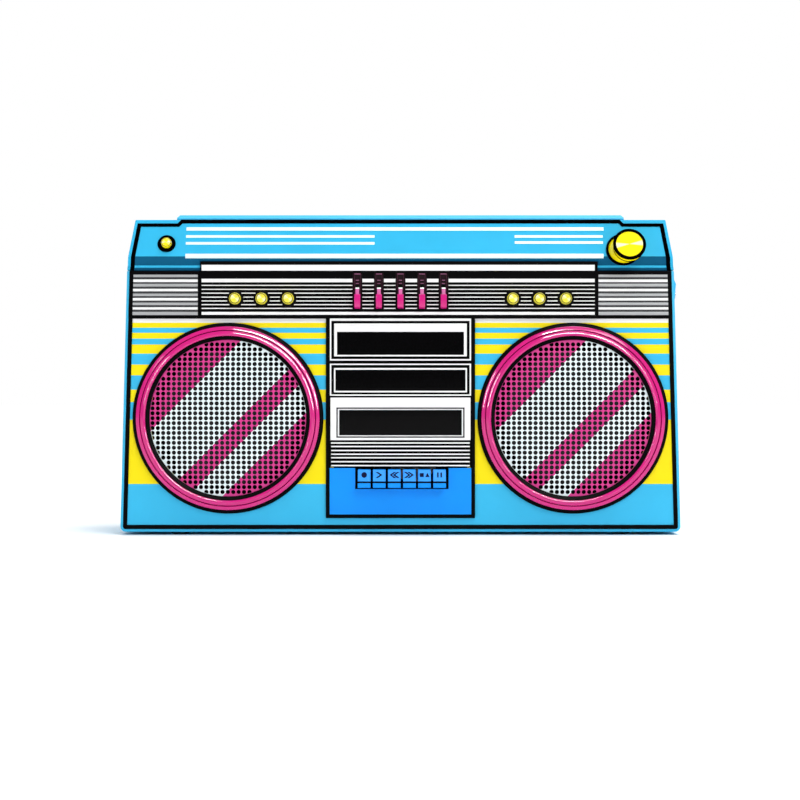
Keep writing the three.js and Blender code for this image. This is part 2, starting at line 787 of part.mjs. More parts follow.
function antennaTip() {
  const { x, y, z } = ANTENNA;
  const far = x - 9 - TUBE_LENGTH;
  return join(rod("x", 1.5, far - 4, x - 25, y, z, 12), rod("x", 4, far - 9, far - 3, y, z, 16));
}

add("antenna_swivel", antennaSwivel(), steel);
add("antenna_tube", antennaTube(), silver);
add("antenna_middle", tube(2.9, 2.1, ANTENNA.x - 16, ANTENNA.x - 11 - TUBE_LENGTH, 3), silver);
add("antenna_tip", antennaTip(), silver);

export default boombox;
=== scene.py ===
import math
from functools import partial

import bmesh
import bpy
from mathutils import Matrix, Vector


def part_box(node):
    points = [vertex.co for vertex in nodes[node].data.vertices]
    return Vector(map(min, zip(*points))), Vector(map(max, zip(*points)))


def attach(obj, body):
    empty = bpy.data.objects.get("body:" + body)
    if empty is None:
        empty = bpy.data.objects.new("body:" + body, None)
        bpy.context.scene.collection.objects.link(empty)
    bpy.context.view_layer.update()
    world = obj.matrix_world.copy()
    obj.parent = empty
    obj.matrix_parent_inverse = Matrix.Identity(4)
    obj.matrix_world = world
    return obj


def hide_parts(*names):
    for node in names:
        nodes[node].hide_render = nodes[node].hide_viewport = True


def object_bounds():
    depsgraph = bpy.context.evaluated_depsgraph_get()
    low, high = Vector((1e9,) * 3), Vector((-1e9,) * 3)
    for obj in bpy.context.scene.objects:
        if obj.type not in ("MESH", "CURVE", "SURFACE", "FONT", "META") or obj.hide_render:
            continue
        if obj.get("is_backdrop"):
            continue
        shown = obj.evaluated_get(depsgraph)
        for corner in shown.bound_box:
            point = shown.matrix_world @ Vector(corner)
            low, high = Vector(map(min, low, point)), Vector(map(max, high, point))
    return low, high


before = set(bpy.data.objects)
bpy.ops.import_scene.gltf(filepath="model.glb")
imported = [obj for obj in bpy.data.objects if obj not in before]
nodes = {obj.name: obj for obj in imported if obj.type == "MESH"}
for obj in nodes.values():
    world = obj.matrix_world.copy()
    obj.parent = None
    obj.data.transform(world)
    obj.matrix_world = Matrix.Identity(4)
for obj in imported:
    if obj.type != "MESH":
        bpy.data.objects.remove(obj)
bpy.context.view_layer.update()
scene = bpy.context.scene

# Lengths below are in millimetres in the row frame, and MM turns them into metres.
MM = 0.001

# ------------------------------------------------------------------ the case's shape

BAFFLE_Y, SPLIT_Y, BACK_Y = -62.0, -2.0, 88.0  # front face, join of the two halves, back
SEAT_Y = BAFFLE_Y + 0.1  # pieces on the front face start a little inside it
FOOT_Z, SHOULDER_Z, DECK_Z, HOOD_TOP_Z = 3.0, 285.0, 326.0, 341.0
FOOT_HALF, SHOULDER_HALF, TOP_HALF = 303.0, 295.6, 287.5  # half the case's width there
# (y, z) of the lower edge of the hood's bevel, and of both edges of its sloping face
BEVEL_FOOT, SLOPE_FOOT, SLOPE_TOP = (-61.0, 290.3), (-67.0, 299.5), (-53.0, HOOD_TOP_Z)
LEAN = math.atan2(SLOPE_TOP[0] - SLOPE_FOOT[0], SLOPE_TOP[1] - SLOPE_FOOT[1])
SPEAKER_X, SPEAKER_Z = 186.0, 126.0
GRILLE_RADIUS = 84.8
BEAD = (3.3, 7.8)  # the black bead lies between these distances in from the outline
SIDES = ((-1, "left"), (1, "right"))


def line_at(z, low, high):
    """The value at a height on the line through two (value, z) points."""
    (a, z0), (b, z1) = low, high
    return a + (b - a) * (z - z0) / (z1 - z0)


def half_width(z):
    """Half the case's width at a height. Its sides lean in, and more so above the shoulder."""
    shoulder = (SHOULDER_HALF, SHOULDER_Z)
    if z <= SHOULDER_Z:
        return line_at(z, (FOOT_HALF, FOOT_Z), shoulder)
    return line_at(z, shoulder, (TOP_HALF, HOOD_TOP_Z))


def slope_y(z):
    return line_at(z, SLOPE_FOOT, SLOPE_TOP)


def bevel_y(z):
    return line_at(z, BEVEL_FOOT, SLOPE_FOOT)


# ------------------------------------------------------------------ materials


def srgb(r, g, b):
    """A display colour, 0 to 255, as the linear colour that the shader takes."""

    def linear(value):
        value /= 255
        return value / 12.92 if value <= 0.04045 else ((value + 0.055) / 1.055) ** 2.4

    return (linear(r), linear(g), linear(b), 1.0)


BLUE = srgb(58, 192, 240)
# A darker copy of the case blue: painted shade on the hood, whose face tilts up to the light.
SHADED_HOOD_BLUE = srgb(53, 182, 229)
# Painted shade for the hood's downward-facing bevel and the line below it.
BEVEL_SHADE_BLUE = srgb(16, 92, 130)
KEY_BLUE = srgb(0, 150, 255)
INK = srgb(2, 12, 52)
YELLOW = srgb(255, 234, 0)
# Pale yellow for painted highlights on the yellow knobs and buttons.
GLINT_YELLOW = srgb(255, 252, 214)
MAGENTA = srgb(214, 24, 128)
GRILLE_MAGENTA = srgb(214, 52, 140)
WHITE = srgb(246, 247, 247)
GRILLE_WHITE = srgb(232, 246, 249)
GREY = srgb(178, 180, 182)
BLACK = srgb(3, 3, 4)
ICE = srgb(226, 252, 255)
RUBBER = srgb(20, 20, 21)
SMOKE = srgb(2, 2, 3)
CHROME = srgb(176, 180, 187)
ZINC = srgb(150, 153, 158)
BRASS = srgb(214, 178, 98)
PAPER = srgb(30, 30, 32)
CARD = srgb(30, 30, 33)
BOARD_GREEN = srgb(28, 92, 54)


def add_node(tree, kind, inputs=None, **settings):
    made = tree.nodes.new(kind)
    for name, value in settings.items():
        setattr(made, name, value)
    for name, value in (inputs or {}).items():
        if isinstance(value, bpy.types.NodeSocket):
            tree.links.new(value, made.inputs[name])
        else:
            made.inputs[name].default_value = value
    return made


def maths(tree, operation, a, b=0.0, c=0.0):
    made = add_node(tree, "ShaderNodeMath", {0: a, 1: b, 2: c}, operation=operation)
    return made.outputs[0]


def noise(tree, place, scale, detail=3.0, rough=0.5):
    inputs = {"Vector": place, "Scale": scale, "Detail": detail, "Roughness": rough}
    return add_node(tree, "ShaderNodeTexNoise", inputs).outputs["Fac"]


def ranged(tree, value, low, high, to_low=0.0, to_high=1.0):
    inputs = {"Value": value, 1: low, 2: high, 3: to_low, 4: to_high}
    return add_node(tree, "ShaderNodeMapRange", inputs).outputs["Result"]


def spread(tree, value, low, high):
    """Noise, which lies mostly between 0.3 and 0.7, spread from low to high."""
    return ranged(tree, value, 0.3, 0.7, low, high)


def axes_of(tree, place):
    return tuple(add_node(tree, "ShaderNodeSeparateXYZ", {0: place}).outputs)


def mixed(tree, factor, a, b):
    made = add_node(tree, "ShaderNodeMix", {0: factor, 6: a, 7: b}, data_type="RGBA")
    return made.outputs[2]


def banded(tree, value, bands):
    """Hard-edged bands of colour along a value in metres, from (start in mm, colour) pairs."""
    low, high = bands[0][0] - 1.0, bands[-1][0] + 1.0
    share = ranged(tree, value, low * MM, high * MM)
    made = add_node(tree, "ShaderNodeValToRGB", {"Fac": share})
    made.color_ramp.interpolation = "CONSTANT"
    stops = made.color_ramp.elements
    for i, (start, colour) in enumerate(bands):
        position = (start - low) / (high - low) if i else 0.0
        stop = stops[i] if i < 2 else stops.new(position)
        stop.position = position
        stop.color = colour
    return made.outputs["Color"]


SMEAR = 0.14  # how far a surface's roughness strays, as a share of it
COAT_ROUGH = 0.06


def surface(
    name, slot, colour, rough, metallic=0.0, coat=0.0, specular=0.32, cloud=0.04,
    cloud_scale=28.0, grain=0.1, grain_scale=1300.0, stretch=(1, 1, 1), paint=None, alpha=1.0,
):
    """A moulded, painted or plated surface. Its colour is a little uneven, its gloss has faint
    smears, and a fine grain or brushing lies in it. paint(tree, place) gives a pattern's colour."""
    material = bpy.data.materials.new(name)
    material.use_nodes = True
    material["slot"] = slot
    material.diffuse_color = colour
    tree = material.node_tree
    shader = tree.nodes["Principled BSDF"]
    fixed = {"Metallic": metallic, "Specular IOR Level": specular, "Alpha": alpha}
    fixed.update({"Coat Weight": coat, "Coat Roughness": COAT_ROUGH})
    for socket, value in fixed.items():
        shader.inputs[socket].default_value = value
    place = add_node(tree, "ShaderNodeTexCoord").outputs["Object"]
    base = paint(tree, place) if paint else colour
    value = spread(tree, noise(tree, place, cloud_scale, 4.0), 1 - cloud, 1 + cloud / 2)
    shaded = add_node(tree, "ShaderNodeHueSaturation", {"Color": base, "Value": value})
    tree.links.new(shaded.outputs["Color"], shader.inputs["Base Color"])
    smeared = noise(tree, place, 46.0, 5.0, 0.6)
    gloss = spread(tree, smeared, rough * (1 - SMEAR), rough * (1 + SMEAR))
    tree.links.new(gloss, shader.inputs["Roughness"])
    stretched = add_node(tree, "ShaderNodeMapping", {"Vector": place, "Scale": stretch}).outputs[0]
    height = noise(tree, stretched, grain_scale, 2.0)
    inputs = {"Height": height, "Strength": grain, "Distance": 0.25 * MM}
    bump = add_node(tree, "ShaderNodeBump", inputs)
    tree.links.new(bump.outputs["Normal"], shader.inputs["Normal"])
    return material


# The height in millimetres where each of the baffle's stripes starts, and its colour.
STRIPES = [
    (0.0, BLUE), (54.2, YELLOW), (124.3, BLUE), (143.0, YELLOW), (156.5, BLUE), (171.5, YELLOW),
    (183.8, BLUE), (195.6, YELLOW), (204.8, BLUE), (211.5, YELLOW), (217.7, BLUE),
    (223.1, YELLOW), (228.9, WHITE),
]


def baffle_paint(tree, place):
    return banded(tree, axes_of(tree, place)[2], STRIPES)


def hood_shade_paint(tree, place):
    """Blue, with painted shade on the downward-facing bevel and on a line below it, and between
    them a lighter line of case blue, a painted highlight on the small fillet, along the hood's
    lower front.
    """
    do, (x, y, z) = partial(maths, tree), axes_of(tree, place)
    # Painted shade below 287.4 and on the bevel from 290, with a painted highlight of case blue
    # between them.
    bands = [(0.0, BEVEL_SHADE_BLUE), (287.4, BLUE), (290.0, BEVEL_SHADE_BLUE), (299.3, SHADED_HOOD_BLUE)]
    half, behind = 289.5 * MM, -58.0 * MM  # the bands stop at these x and y
    within = do("LESS_THAN", do("ABSOLUTE", x), half)
    inside = do("MULTIPLY", within, do("LESS_THAN", y, behind))
    return mixed(tree, inside, SHADED_HOOD_BLUE, banded(tree, z, bands))


def grille_paint(tree, place):
    """Diagonal stripes across each round grille."""
    do, (x, _, z) = partial(maths, tree), axes_of(tree, place)
    from_centre = do("SUBTRACT", do("ABSOLUTE", x), SPEAKER_X * MM)
    across = do("MULTIPLY", from_centre, do("SIGN", x))
    up = do("SUBTRACT", z, SPEAKER_Z * MM)
    along = do("MULTIPLY", do("SUBTRACT", across, up), math.sqrt(0.5))
    starts = (-90.0, -49.3, 9.0, 28.8, 54.9)
    colours = (GRILLE_MAGENTA, GRILLE_WHITE) * 2 + (GRILLE_MAGENTA,)
    return banded(tree, along, list(zip(starts, colours)))


def painted_glints(centres, lean=0.0, least=0.7, ground=YELLOW):
    """Yellow with painted highlights: pale wedges fan out from each (x, z, reach) centre, painted
    reflections like those of a turned metal face. lean turns them, and least is the wave's height
    where they start."""

    def paint(tree, place):
        do, (x, _, z) = partial(maths, tree), axes_of(tree, place)
        glint = 0.0
        for cx, cz, reach in centres:
            dx, dz = do("SUBTRACT", x, cx * MM), do("SUBTRACT", z, cz * MM)
            angle = do("ARCTAN2", dz, dx)
            wide = do("COSINE", do("MULTIPLY_ADD", angle, 2.0, 0.35 + lean))
            thin = do("COSINE", do("MULTIPLY_ADD", angle, 8.0, -0.8))
            wave = do("MULTIPLY_ADD", thin, 0.35, wide)
            squared = do("MULTIPLY_ADD", dz, dz, do("MULTIPLY", dx, dx))
            near = do("LESS_THAN", squared, (reach * MM) ** 2)
            share = ranged(tree, wave, least, 1.15, 0.0, 0.9)
            glint = do("MULTIPLY_ADD", share, near, glint)
        return mixed(tree, glint, ground, GLINT_YELLOW)

    return paint


case_blue = surface("case_blue", "case_blue", BLUE, 0.42, specular=0.22)
# The hood's material: the case blue darkened as painted shade, with painted shade and a painted
# highlight along its lower front.
shaded_hood_blue = surface("shaded_hood_blue", "case_blue", SHADED_HOOD_BLUE, 0.46, specular=0.03, paint=hood_shade_paint)
striped = surface("striped_baffle", "case_blue", BLUE, 0.42, specular=0.18, paint=baffle_paint)
key_blue = surface("key_blue", "key_blue", KEY_BLUE, 0.36, specular=0.2)
ink = surface("key_ink", "dark_blue", INK, 0.6, specular=0.05, cloud=0.1)
magenta = surface("gloss_magenta", "magenta", MAGENTA, 0.2, coat=1.0, specular=0.06, grain=0.02)
grille_look = surface(
    "painted_grille", "white", GRILLE_WHITE, 0.45, grain=0.16, grain_scale=2600.0,
    paint=grille_paint,
)
yellow = surface("gloss_yellow", "yellow", YELLOW, 0.24, coat=0.3, grain=0.04)
white = surface("white_plastic", "white", WHITE, 0.36)
ice = surface("ice_paint", "white", ICE, 0.36)
grey = surface(
    "silver_paint", "silver", GREY, 0.34, metallic=0.25, cloud=0.06, grain=0.2,
    stretch=(0.02, 1, 1),
)
black = surface("black_plastic", "black", BLACK, 0.5, specular=0.03, cloud=0.12, grain=0.16)
matte_black = surface("matte_black", "black", BLACK, 0.55, specular=0.0, cloud=0.12, grain=0.1)
gloss_black = surface("gloss_black", "black", BLACK, 0.22, specular=0.16, cloud=0.1, grain=0.03)
rubber = surface("rubber", "rubber", RUBBER, 0.8, cloud=0.15, grain=0.3, grain_scale=900.0)
smoked = surface(
    "smoked_acrylic", "smoked", SMOKE, 0.07, specular=0.1, cloud=0.1, grain=0.01, alpha=0.965
)
chrome = surface("chrome", "chrome", CHROME, 0.15, metallic=1.0, grain=0.02)
steel = surface("zinc_steel", "steel", ZINC, 0.38, metallic=0.9, cloud=0.14, cloud_scale=90.0)
brass = surface("brass", "brass", BRASS, 0.3, metallic=1.0, cloud=0.1)
paper = surface("paper_cone", "paper", PAPER, 0.85, cloud=0.2, grain=0.5, grain_scale=500.0)
dial_card = surface("dial_card", "dial", CARD, 0.7)
board = surface("board", "board", BOARD_GREEN, 0.5, cloud=0.1)

# ------------------------------------------------------------------ shapes
# A shape is (points in millimetres, faces). piece() makes one or more shapes into an object.


def joined(*shapes):
    points, faces = [], []
    for shape in shapes:
        first = len(points)
        points += [tuple(p) for p in shape[0]]
        faces += [[first + i for i in face] for face in shape[1]]
    return points, faces


def moved(shape, matrix):
    return [tuple(matrix @ Vector(p)) for p in shape[0]], shape[1]


def bent(shape, change):
    """The shape with each point put through change(x, y, z)."""
    return [change(*p) for p in shape[0]], shape[1]


def loft(rings, closed=True, ends=False):
    """Faces between rings of equal length. closed joins each ring's ends; ends caps the loft."""
    points = [p for ring in rings for p in ring]
    n = len(rings[0])
    faces = []
    for r in range(len(rings) - 1):
        for i in range(n if closed else n - 1):
            j = (i + 1) % n
            faces.append([r * n + i, r * n + j, (r + 1) * n + j, (r + 1) * n + i])
    if ends:
        faces.append(list(range(n)))
        faces.append([(len(rings) - 1) * n + i for i in range(n)])
    return points, faces


def slab(outline, y0, y1):
    """An outline of (x, z) points, filled from y0 to y1."""
    return loft([ring_at(outline, y0), ring_at(outline, y1)], ends=True)


def bar(profile, x0, x1):
    """A profile of (y, z) points, swept from x0 to x1."""
    return loft([[(x, y, z) for y, z in profile] for x in (x0, x1)], ends=True)


def block(x0, x1, y0, y1, z0, z1):
    return bar([(y0, z0), (y1, z0), (y1, z1), (y0, z1)], x0, x1)


def circle(x, z, r, segments=64):
    turn = [2 * math.pi * i / segments for i in range(segments)]
    return [(x + r * math.cos(a), z + r * math.sin(a)) for a in turn]


def ring_at(path, y):
    """The (x, z) points of a path, at y."""
    return [(x, y, z) for x, z in path]


def lathe(profile, x=0.0, z=0.0, segments=64, closed=False):
    """A profile of (radius, y) points, turned about an axis along Y through (x, z)."""
    rings = [ring_at(circle(x, z, r, segments), y) for r, y in profile]
    if closed:
        rings.append(rings[0])
    return loft(rings)


def fillet(points, radius, steps=4, closed=True):
    """The points with each corner rounded to a radius, or to its own radius from a list."""
    made = []
    count = len(points)
    for i, point in enumerate(points):
        r = radius[i] if isinstance(radius, (list, tuple)) else radius
        if r <= 0 or (not closed and i in (0, count - 1)):
            made.append(tuple(point))
            continue
        here = Vector(point)
        back = Vector(points[i - 1]) - here
        on = Vector(points[(i + 1) % count]) - here
        half = back.angle(on) / 2
        if half > 1.54:
            made.append(tuple(point))
            continue
        reach = min(r / math.tan(half), 0.48 * back.length, 0.48 * on.length)
        r = reach * math.tan(half)
        back.normalize()
        on.normalize()
        centre = here + (back + on).normalized() * (r / math.sin(half))
        start = here + back * reach - centre
        end = here + on * reach - centre
        for k in range(steps + 1):
            made.append(tuple(centre + start.slerp(end, k / steps) * r))
    return made


def rectangle(x0, x1, z0, z1, radius=0.0):
    return fillet([(x0, z0), (x1, z0), (x1, z1), (x0, z1)], radius)


def centred(half, z0, z1, radius=0.0):
    """A rectangle that reaches as far to each side of x = 0."""
    return rectangle(-half, half, z0, z1, radius)


def quartered(points):
    """(x, z) points and their three quarter turns about the origin, as one outline."""
    for _ in range(3):
        points = points + [(-z, x) for x, z in points[-3:]]
    return points


def mirrored(half, middle):
    """An outline's (a, b) points and, after them, their mirror images about a = middle."""
    return half + [(2 * middle - a, b) for a, b in half[::-1]]


def around(shape, count, x, z):
    """Copies of a shape that is made about the Y axis, evenly round the line through (x, z)."""
    place = Matrix.Translation((x, 0, z))
    turns = [2 * math.pi * k / count for k in range(count)]
    return [moved(shape, place @ Matrix.Rotation(turn, 4, "Y")) for turn in turns]


def plate(outer, holes, y0, y1, edge):
    """A flat plate between y0 and y1, with holes, its front and back edges rounded."""
    curve = bpy.data.curves.new("plate", "CURVE")
    curve.dimensions = "2D"
    curve.fill_mode = "BOTH"
    curve.bevel_depth = edge * MM
    curve.bevel_resolution = 2
    curve.offset = -edge * MM
    curve.extrude = ((y1 - y0) / 2 - edge) * MM
    for loop in [outer, *holes]:
        spline = curve.splines.new("POLY")
        spline.points.add(len(loop) - 1)
        for point, (x, z) in zip(spline.points, loop):
            point.co = (x * MM, z * MM, 0, 1)
        spline.use_cyclic_u = True
    holder = bpy.data.objects.new("plate", curve)
    scene.collection.objects.link(holder)
    found = holder.evaluated_get(bpy.context.evaluated_depsgraph_get())
    mesh = bpy.data.meshes.new_from_object(found)
    bpy.data.objects.remove(holder)
    middle = (y0 + y1) / 2
    points = [(v.co.x / MM, middle - v.co.z / MM, v.co.y / MM) for v in mesh.vertices]
    faces = [list(p.vertices) for p in mesh.polygons]
    bpy.data.meshes.remove(mesh)
    return points, faces


def on_slope(x, z):
    """The matrix that puts a shape made about the Y axis on the hood's face, -Y outwards."""
    return Matrix.Translation((x, slope_y(z), z)) @ Matrix.Rotation(-LEAN, 4, "X")


def add_edge(made, width, angle, segments=3):
    """Rounds the edges that are sharper than an angle in degrees."""
    edge = made.modifiers.new("Edge", "BEVEL")
    edge.width = width * MM
    edge.segments = segments
    edge.limit_method = "ANGLE"
    edge.angle_limit = math.radians(angle)


def piece(name, shape, look, body="case", replaces=(), bevel=0.0, segments=3):
    """Makes a shape, or a list of shapes, into a piece of the object that rides on a body."""
    points, faces = joined(*shape) if isinstance(shape, list) else shape
    mesh = bpy.data.meshes.new(name)
    mesh.from_pydata([Vector(p) * MM for p in points], [], faces)
    work = bmesh.new()
    work.from_mesh(mesh)
    bmesh.ops.remove_doubles(work, verts=work.verts, dist=1e-6)
    bmesh.ops.dissolve_degenerate(work, edges=work.edges, dist=1e-7)
    bmesh.ops.recalc_face_normals(work, faces=work.faces)
    work.to_mesh(mesh)
    work.free()
    mesh.shade_smooth()
    mesh.materials.append(look)
    made = bpy.data.objects.new(name, mesh)
    scene.collection.objects.link(made)
    if bevel:
        add_edge(made, bevel, 28, segments)
    else:
        mesh.set_sharp_from_angle(angle=math.radians(35))
    weigh(made)
    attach(made, body)
    if replaces:
        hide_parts(*replaces)
    return made


def weigh(made):
    """Flat faces keep their own normals, and the rounding between them is smooth."""
    weighted = made.modifiers.new("Normals", "WEIGHTED_NORMAL")
    weighted.mode = "FACE_AREA"
    weighted.keep_sharp = True


def carry(name, look, bevel=0.0):
    """Gives a carried-over CAD node a look and, if asked, rounded edges."""
    node = nodes[name]
    node.data.materials.clear()
    node.data.materials.append(look)
    node.data.shade_smooth()
    weld = node.modifiers.new("Weld", "WELD")
    weld.merge_threshold = 1e-5
    flat = node.modifiers.new("Flat", "DECIMATE")
    flat.decimate_type = "DISSOLVE"
    flat.angle_limit = math.radians(0.5)
    if bevel:
        add_edge(node, bevel, 32)
    weigh(node)


# ------------------------------------------------------------------ case: front half


CORNER, LEAST_CORNER = 6.0, 0.4  # radius of the case's lower corners, and the least when inset


def u_path(inset):
    """The case's outline from the top of its left side, round the bottom, to its right side."""
    right = [(half_width(z) - inset, z) for z in (FOOT_Z + inset, SHOULDER_Z - 0.2)]
    corners = [(-x, z) for x, z in right[::-1]] + right
    return fillet(corners, max(CORNER - inset, LEAST_CORNER), steps=6, closed=False)


def quarter(radius, steps=6):
    """(inset, rise) pairs of a rounded edge, from its flat face to its side."""
    turn = [math.pi / 2 * i / steps for i in range(steps + 1)]
    return [(radius * (1 - math.sin(a)), radius * (1 - math.cos(a))) for a in turn]


ROUND = 3.0
rim = [(5.4, BAFFLE_Y + 1.6), (5.4, BAFFLE_Y)]
rim += [(inset, BAFFLE_Y + rise) for inset, rise in quarter(ROUND)]
rim += [(0.0, SPLIT_Y - 0.6), (0.5, SPLIT_Y - 0.1), (2.6, SPLIT_Y - 0.1), (2.6, BAFFLE_Y + 5)]
front_rim = loft([ring_at(u_path(inset), y) for inset, y in rim], closed=False)
piece("front_rim", front_rim, case_blue, replaces=["front_shell"])

strip_notch = [(208, 284.8), (208, 240), (-208, 240), (-208, 284.8)]
baffle_holes = [circle(side * SPEAKER_X, SPEAKER_Z, 84.5, 96) for side in (-1, 1)]
baffle_holes.append(centred(72, 24, 228))
baffle = plate(u_path(5.6) + strip_notch, baffle_holes, BAFFLE_Y, BAFFLE_Y + 3, 0.3)
piece("front_baffle", baffle, striped)

case_bead = plate(u_path(BEAD[0]) + u_path(BEAD[1])[::-1], [], BAFFLE_Y - 1.0, BAFFLE_Y + 0.2, 0.4)
piece("case_bead", case_bead, black)

# ------------------------------------------------------------------ trim helpers


def raised(x0, x1, z0, z1, back, front, edge=0.3):
    """A straight bar along X that stands out from back to front, its long edges rounded."""
    soft = edge * 0.3
    profile = [(back, z0), (front + edge, z0), (front + soft, z0 + soft), (front, z0 + edge)]
    profile += [(front, z1 - edge), (front + soft, z1 - soft), (front + edge, z1), (back, z1)]
    return bar(profile, x0, x1)


def spans(x0, x1, gaps):
    """The stretches of x0 to x1 that are left between gaps."""
    made, at = [], x0
    for low, high in sorted(gaps):
        if low > at:
            made.append((at, low))
        at = max(at, high)
    if at < x1:
        made.append((at, x1))
    return made


def ring_shape(inner, outer, back, front, x=0.0, z=0.0, edge=0.3, segments=64):
    """A flat ring about the Y axis, from back to front, with its front edges rounded."""
    profile = [(inner, back), (inner, front + edge), (inner + edge, front)]
    profile += [(outer - edge, front), (outer, front + edge), (outer, back)]
    return lathe(profile, x, z, segments, closed=True)


def along_x(shape, y, z):
    """A shape made about the Y axis, turned so that its +Y is +X, about the line through y, z."""
    return moved(shape, Matrix.Translation((0, y, z)) @ Matrix.Rotation(-math.pi / 2, 4, "Z"))


def upright(shape, x, y):
    """A shape made about the Y axis, turned so that its +Y is +Z."""
    return moved(shape, Matrix.Translation((x, y, 0)) @ Matrix.Rotation(math.pi / 2, 4, "X"))


def middle(name):
    """The middle of a CAD node's box, in millimetres."""
    low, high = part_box(name)
    return [(a + b) / 2 / MM for a, b in zip(low, high)]


# ------------------------------------------------------------------ hood

# The control panel runs up into a notch in the hood, a little nearer on the right.
NOTCH_LEFT, NOTCH_RIGHT, NOTCH_Z = -215.9, 212.8, 295.0
HOOD_LOW_Z = 285.4
LIP_Y = -50.5  # back of the raised lip along the hood's top edge


def hood_section(x):
    """The hood's profile at x, or where an infinite x meets the case's sloping side."""
    profile = [(BEVEL_FOOT[0], HOOD_LOW_Z), BEVEL_FOOT, (bevel_y(NOTCH_Z), NOTCH_Z)]
    profile += [SLOPE_FOOT, SLOPE_TOP, (LIP_Y, HOOD_TOP_Z), (LIP_Y, DECK_Z), (SPLIT_Y, DECK_Z)]
    profile += [(SPLIT_Y, NOTCH_Z), (SPLIT_Y, HOOD_LOW_Z)]
    at_end = abs(x) == math.inf
    return [(math.copysign(half_width(z), x) if at_end else x, y, z) for y, z in profile]


def hood_shape():
    """The hood: a full stretch on each side of the notch, joined by one that stops above it."""
    sections = [hood_section(x) for x in (-math.inf, NOTCH_LEFT, NOTCH_RIGHT, math.inf)]
    points, faces = joined(loft(sections[:2]), loft(sections[2:]))
    n = len(sections[0])
    faces += [list(range(n)), [3 * n + i for i in range(n)]]
    first, last = n, 2 * n
    for i in range(2, n - 2):
        faces.append([first + i, first + i + 1, last + i + 1, last + i])
    faces.append([first + 2, first + n - 2, last + n - 2, last + 2])
    faces.append([first + i for i in (0, 1, 2, n - 2, n - 1)])
    faces.append([last + i for i in (0, 1, 2, n - 2, n - 1)])
    return points, faces


piece("hood", hood_shape(), shaded_hood_blue, replaces=["top_panel"], bevel=1.1)


def hood_front_y(z):
    if z < BEVEL_FOOT[1]:
        return BEVEL_FOOT[0]
    return bevel_y(z) if z < SLOPE_FOOT[1] else slope_y(z)


def ribbon(pairs, proud=0.5, sunk=0.6, edge=0.35):
    """A raised line on the hood between pairs of (outer, inner) points, each (x, z)."""
    rings = []
    for outer, inner in pairs:
        outer, inner = Vector(outer), Vector(inner)
        across = (inner - outer).normalized() * edge
        steps = [(outer, -sunk), (outer, proud - edge), (outer + across, proud)]
        steps += [(inner - across, proud), (inner, proud - edge), (inner, -sunk)]
        rings.append([(p.x, hood_front_y(p.y) - out, p.y) for p, out in steps])
    return loft(rings, ends=True)


def side_pair(side, z):
    return [(side * (half_width(z) - inset), z) for inset in BEAD]


bead_left = [side_pair(-1, z) for z in (285.2, BEVEL_FOOT[1], SLOPE_FOOT[1], 320.0)]
bead_left.append([side_pair(-1, 337.0)[0], side_pair(-1, 333.2)[1]])
bead_left += [[(-241.6, 337.0), (-239.8, 333.2)], [(-237.6, 341.2), (-236.0, 336.9)]]
bead_right = [[(-x, z) for x, z in pair] for pair in bead_left[::-1]]
piece("hood_bead", ribbon(bead_left + bead_right), matte_black)


def inlay(x0, x1, z0, z1, proud=0.35):
    """A raised line along the hood's front."""
    profile = [(hood_front_y(z0) + 0.5, z0), (hood_front_y(z0) - proud, z0 + 0.15)]
    if z0 < SLOPE_FOOT[1] < z1:
        profile.append((SLOPE_FOOT[0] - proud, SLOPE_FOOT[1]))
    profile += [(slope_y(z1) - proud, z1 - 0.15), (slope_y(z1) + 0.5, z1)]
    return bar(profile, x0, x1)


hood_lines = [
    (-231.7, 219.8, 328.8, 332.8), (-231.7, -28.0, 320.9, 323.9), (-231.7, -28.0, 313.2, 316.3),
    (123.4, 218.7, 320.9, 323.9), (123.4, 218.7, 314.1, 317.2), (-231.7, 218.7, 298.1, 303.3),
]
piece("hood_lines", [inlay(*line) for line in hood_lines], ice, bevel=0.12, segments=2)

# The tuning knob leans on a fixed boss, and the power button sits in a black surround.
knob_place = on_slope(244.7, 306.2)
BOSS_X, BOSS_Z, BOSS_OUT = -5.0, 1.4, 9.0  # where the boss's foot lies from the knob's axis
boss_rings = []
for t, r in ((-0.06, 16.0), (0.0, 16.0), (0.94, 15.4), (0.99, 15.2), (1.0, 14.9)):
    outline = circle(BOSS_X * (1 - t), BOSS_Z * (1 - t), r, 96)
    boss_rings.append(ring_at(outline, -BOSS_OUT * t))
piece("tuning_boss", moved(loft(boss_rings, ends=True), knob_place), yellow)
boss_foot = ring_shape(15.6, 18.2, 0.5, -1.7, BOSS_X, BOSS_Z, edge=0.4, segments=96)
boss_line = ring_shape(12.0, 16.4, -9.02, -9.5, edge=0.2, segments=96)
piece("tuning_boss_foot", moved(boss_foot, knob_place), matte_black)
piece("tuning_boss_line", moved(boss_line, knob_place), matte_black)

FACE_OUT = 18.9
knob_face = knob_place @ Vector((0, -FACE_OUT, 0))
# The tuning knob's face carries painted highlights: pale wedges fanning out from its centre.
knob_glints = surface(
    "tuning_knob_painted_glints", "yellow", YELLOW, 0.34, specular=0.02, grain=0.03,
    paint=painted_glints([(knob_face.x, knob_face.z, 15.1)], lean=-0.53, least=0.75),
)


def knurled(x, y, z):
    """Sinks 40 shallow grooves into the knob's side."""
    r = math.hypot(x, z)
    if r < 15.8 or not -18.0 < y < -10.3:
        return (x, y, z)
    share = 1 - 0.35 * (0.5 - 0.5 * math.cos(40 * math.atan2(z, x))) / r
    return (x * share, y, z * share)


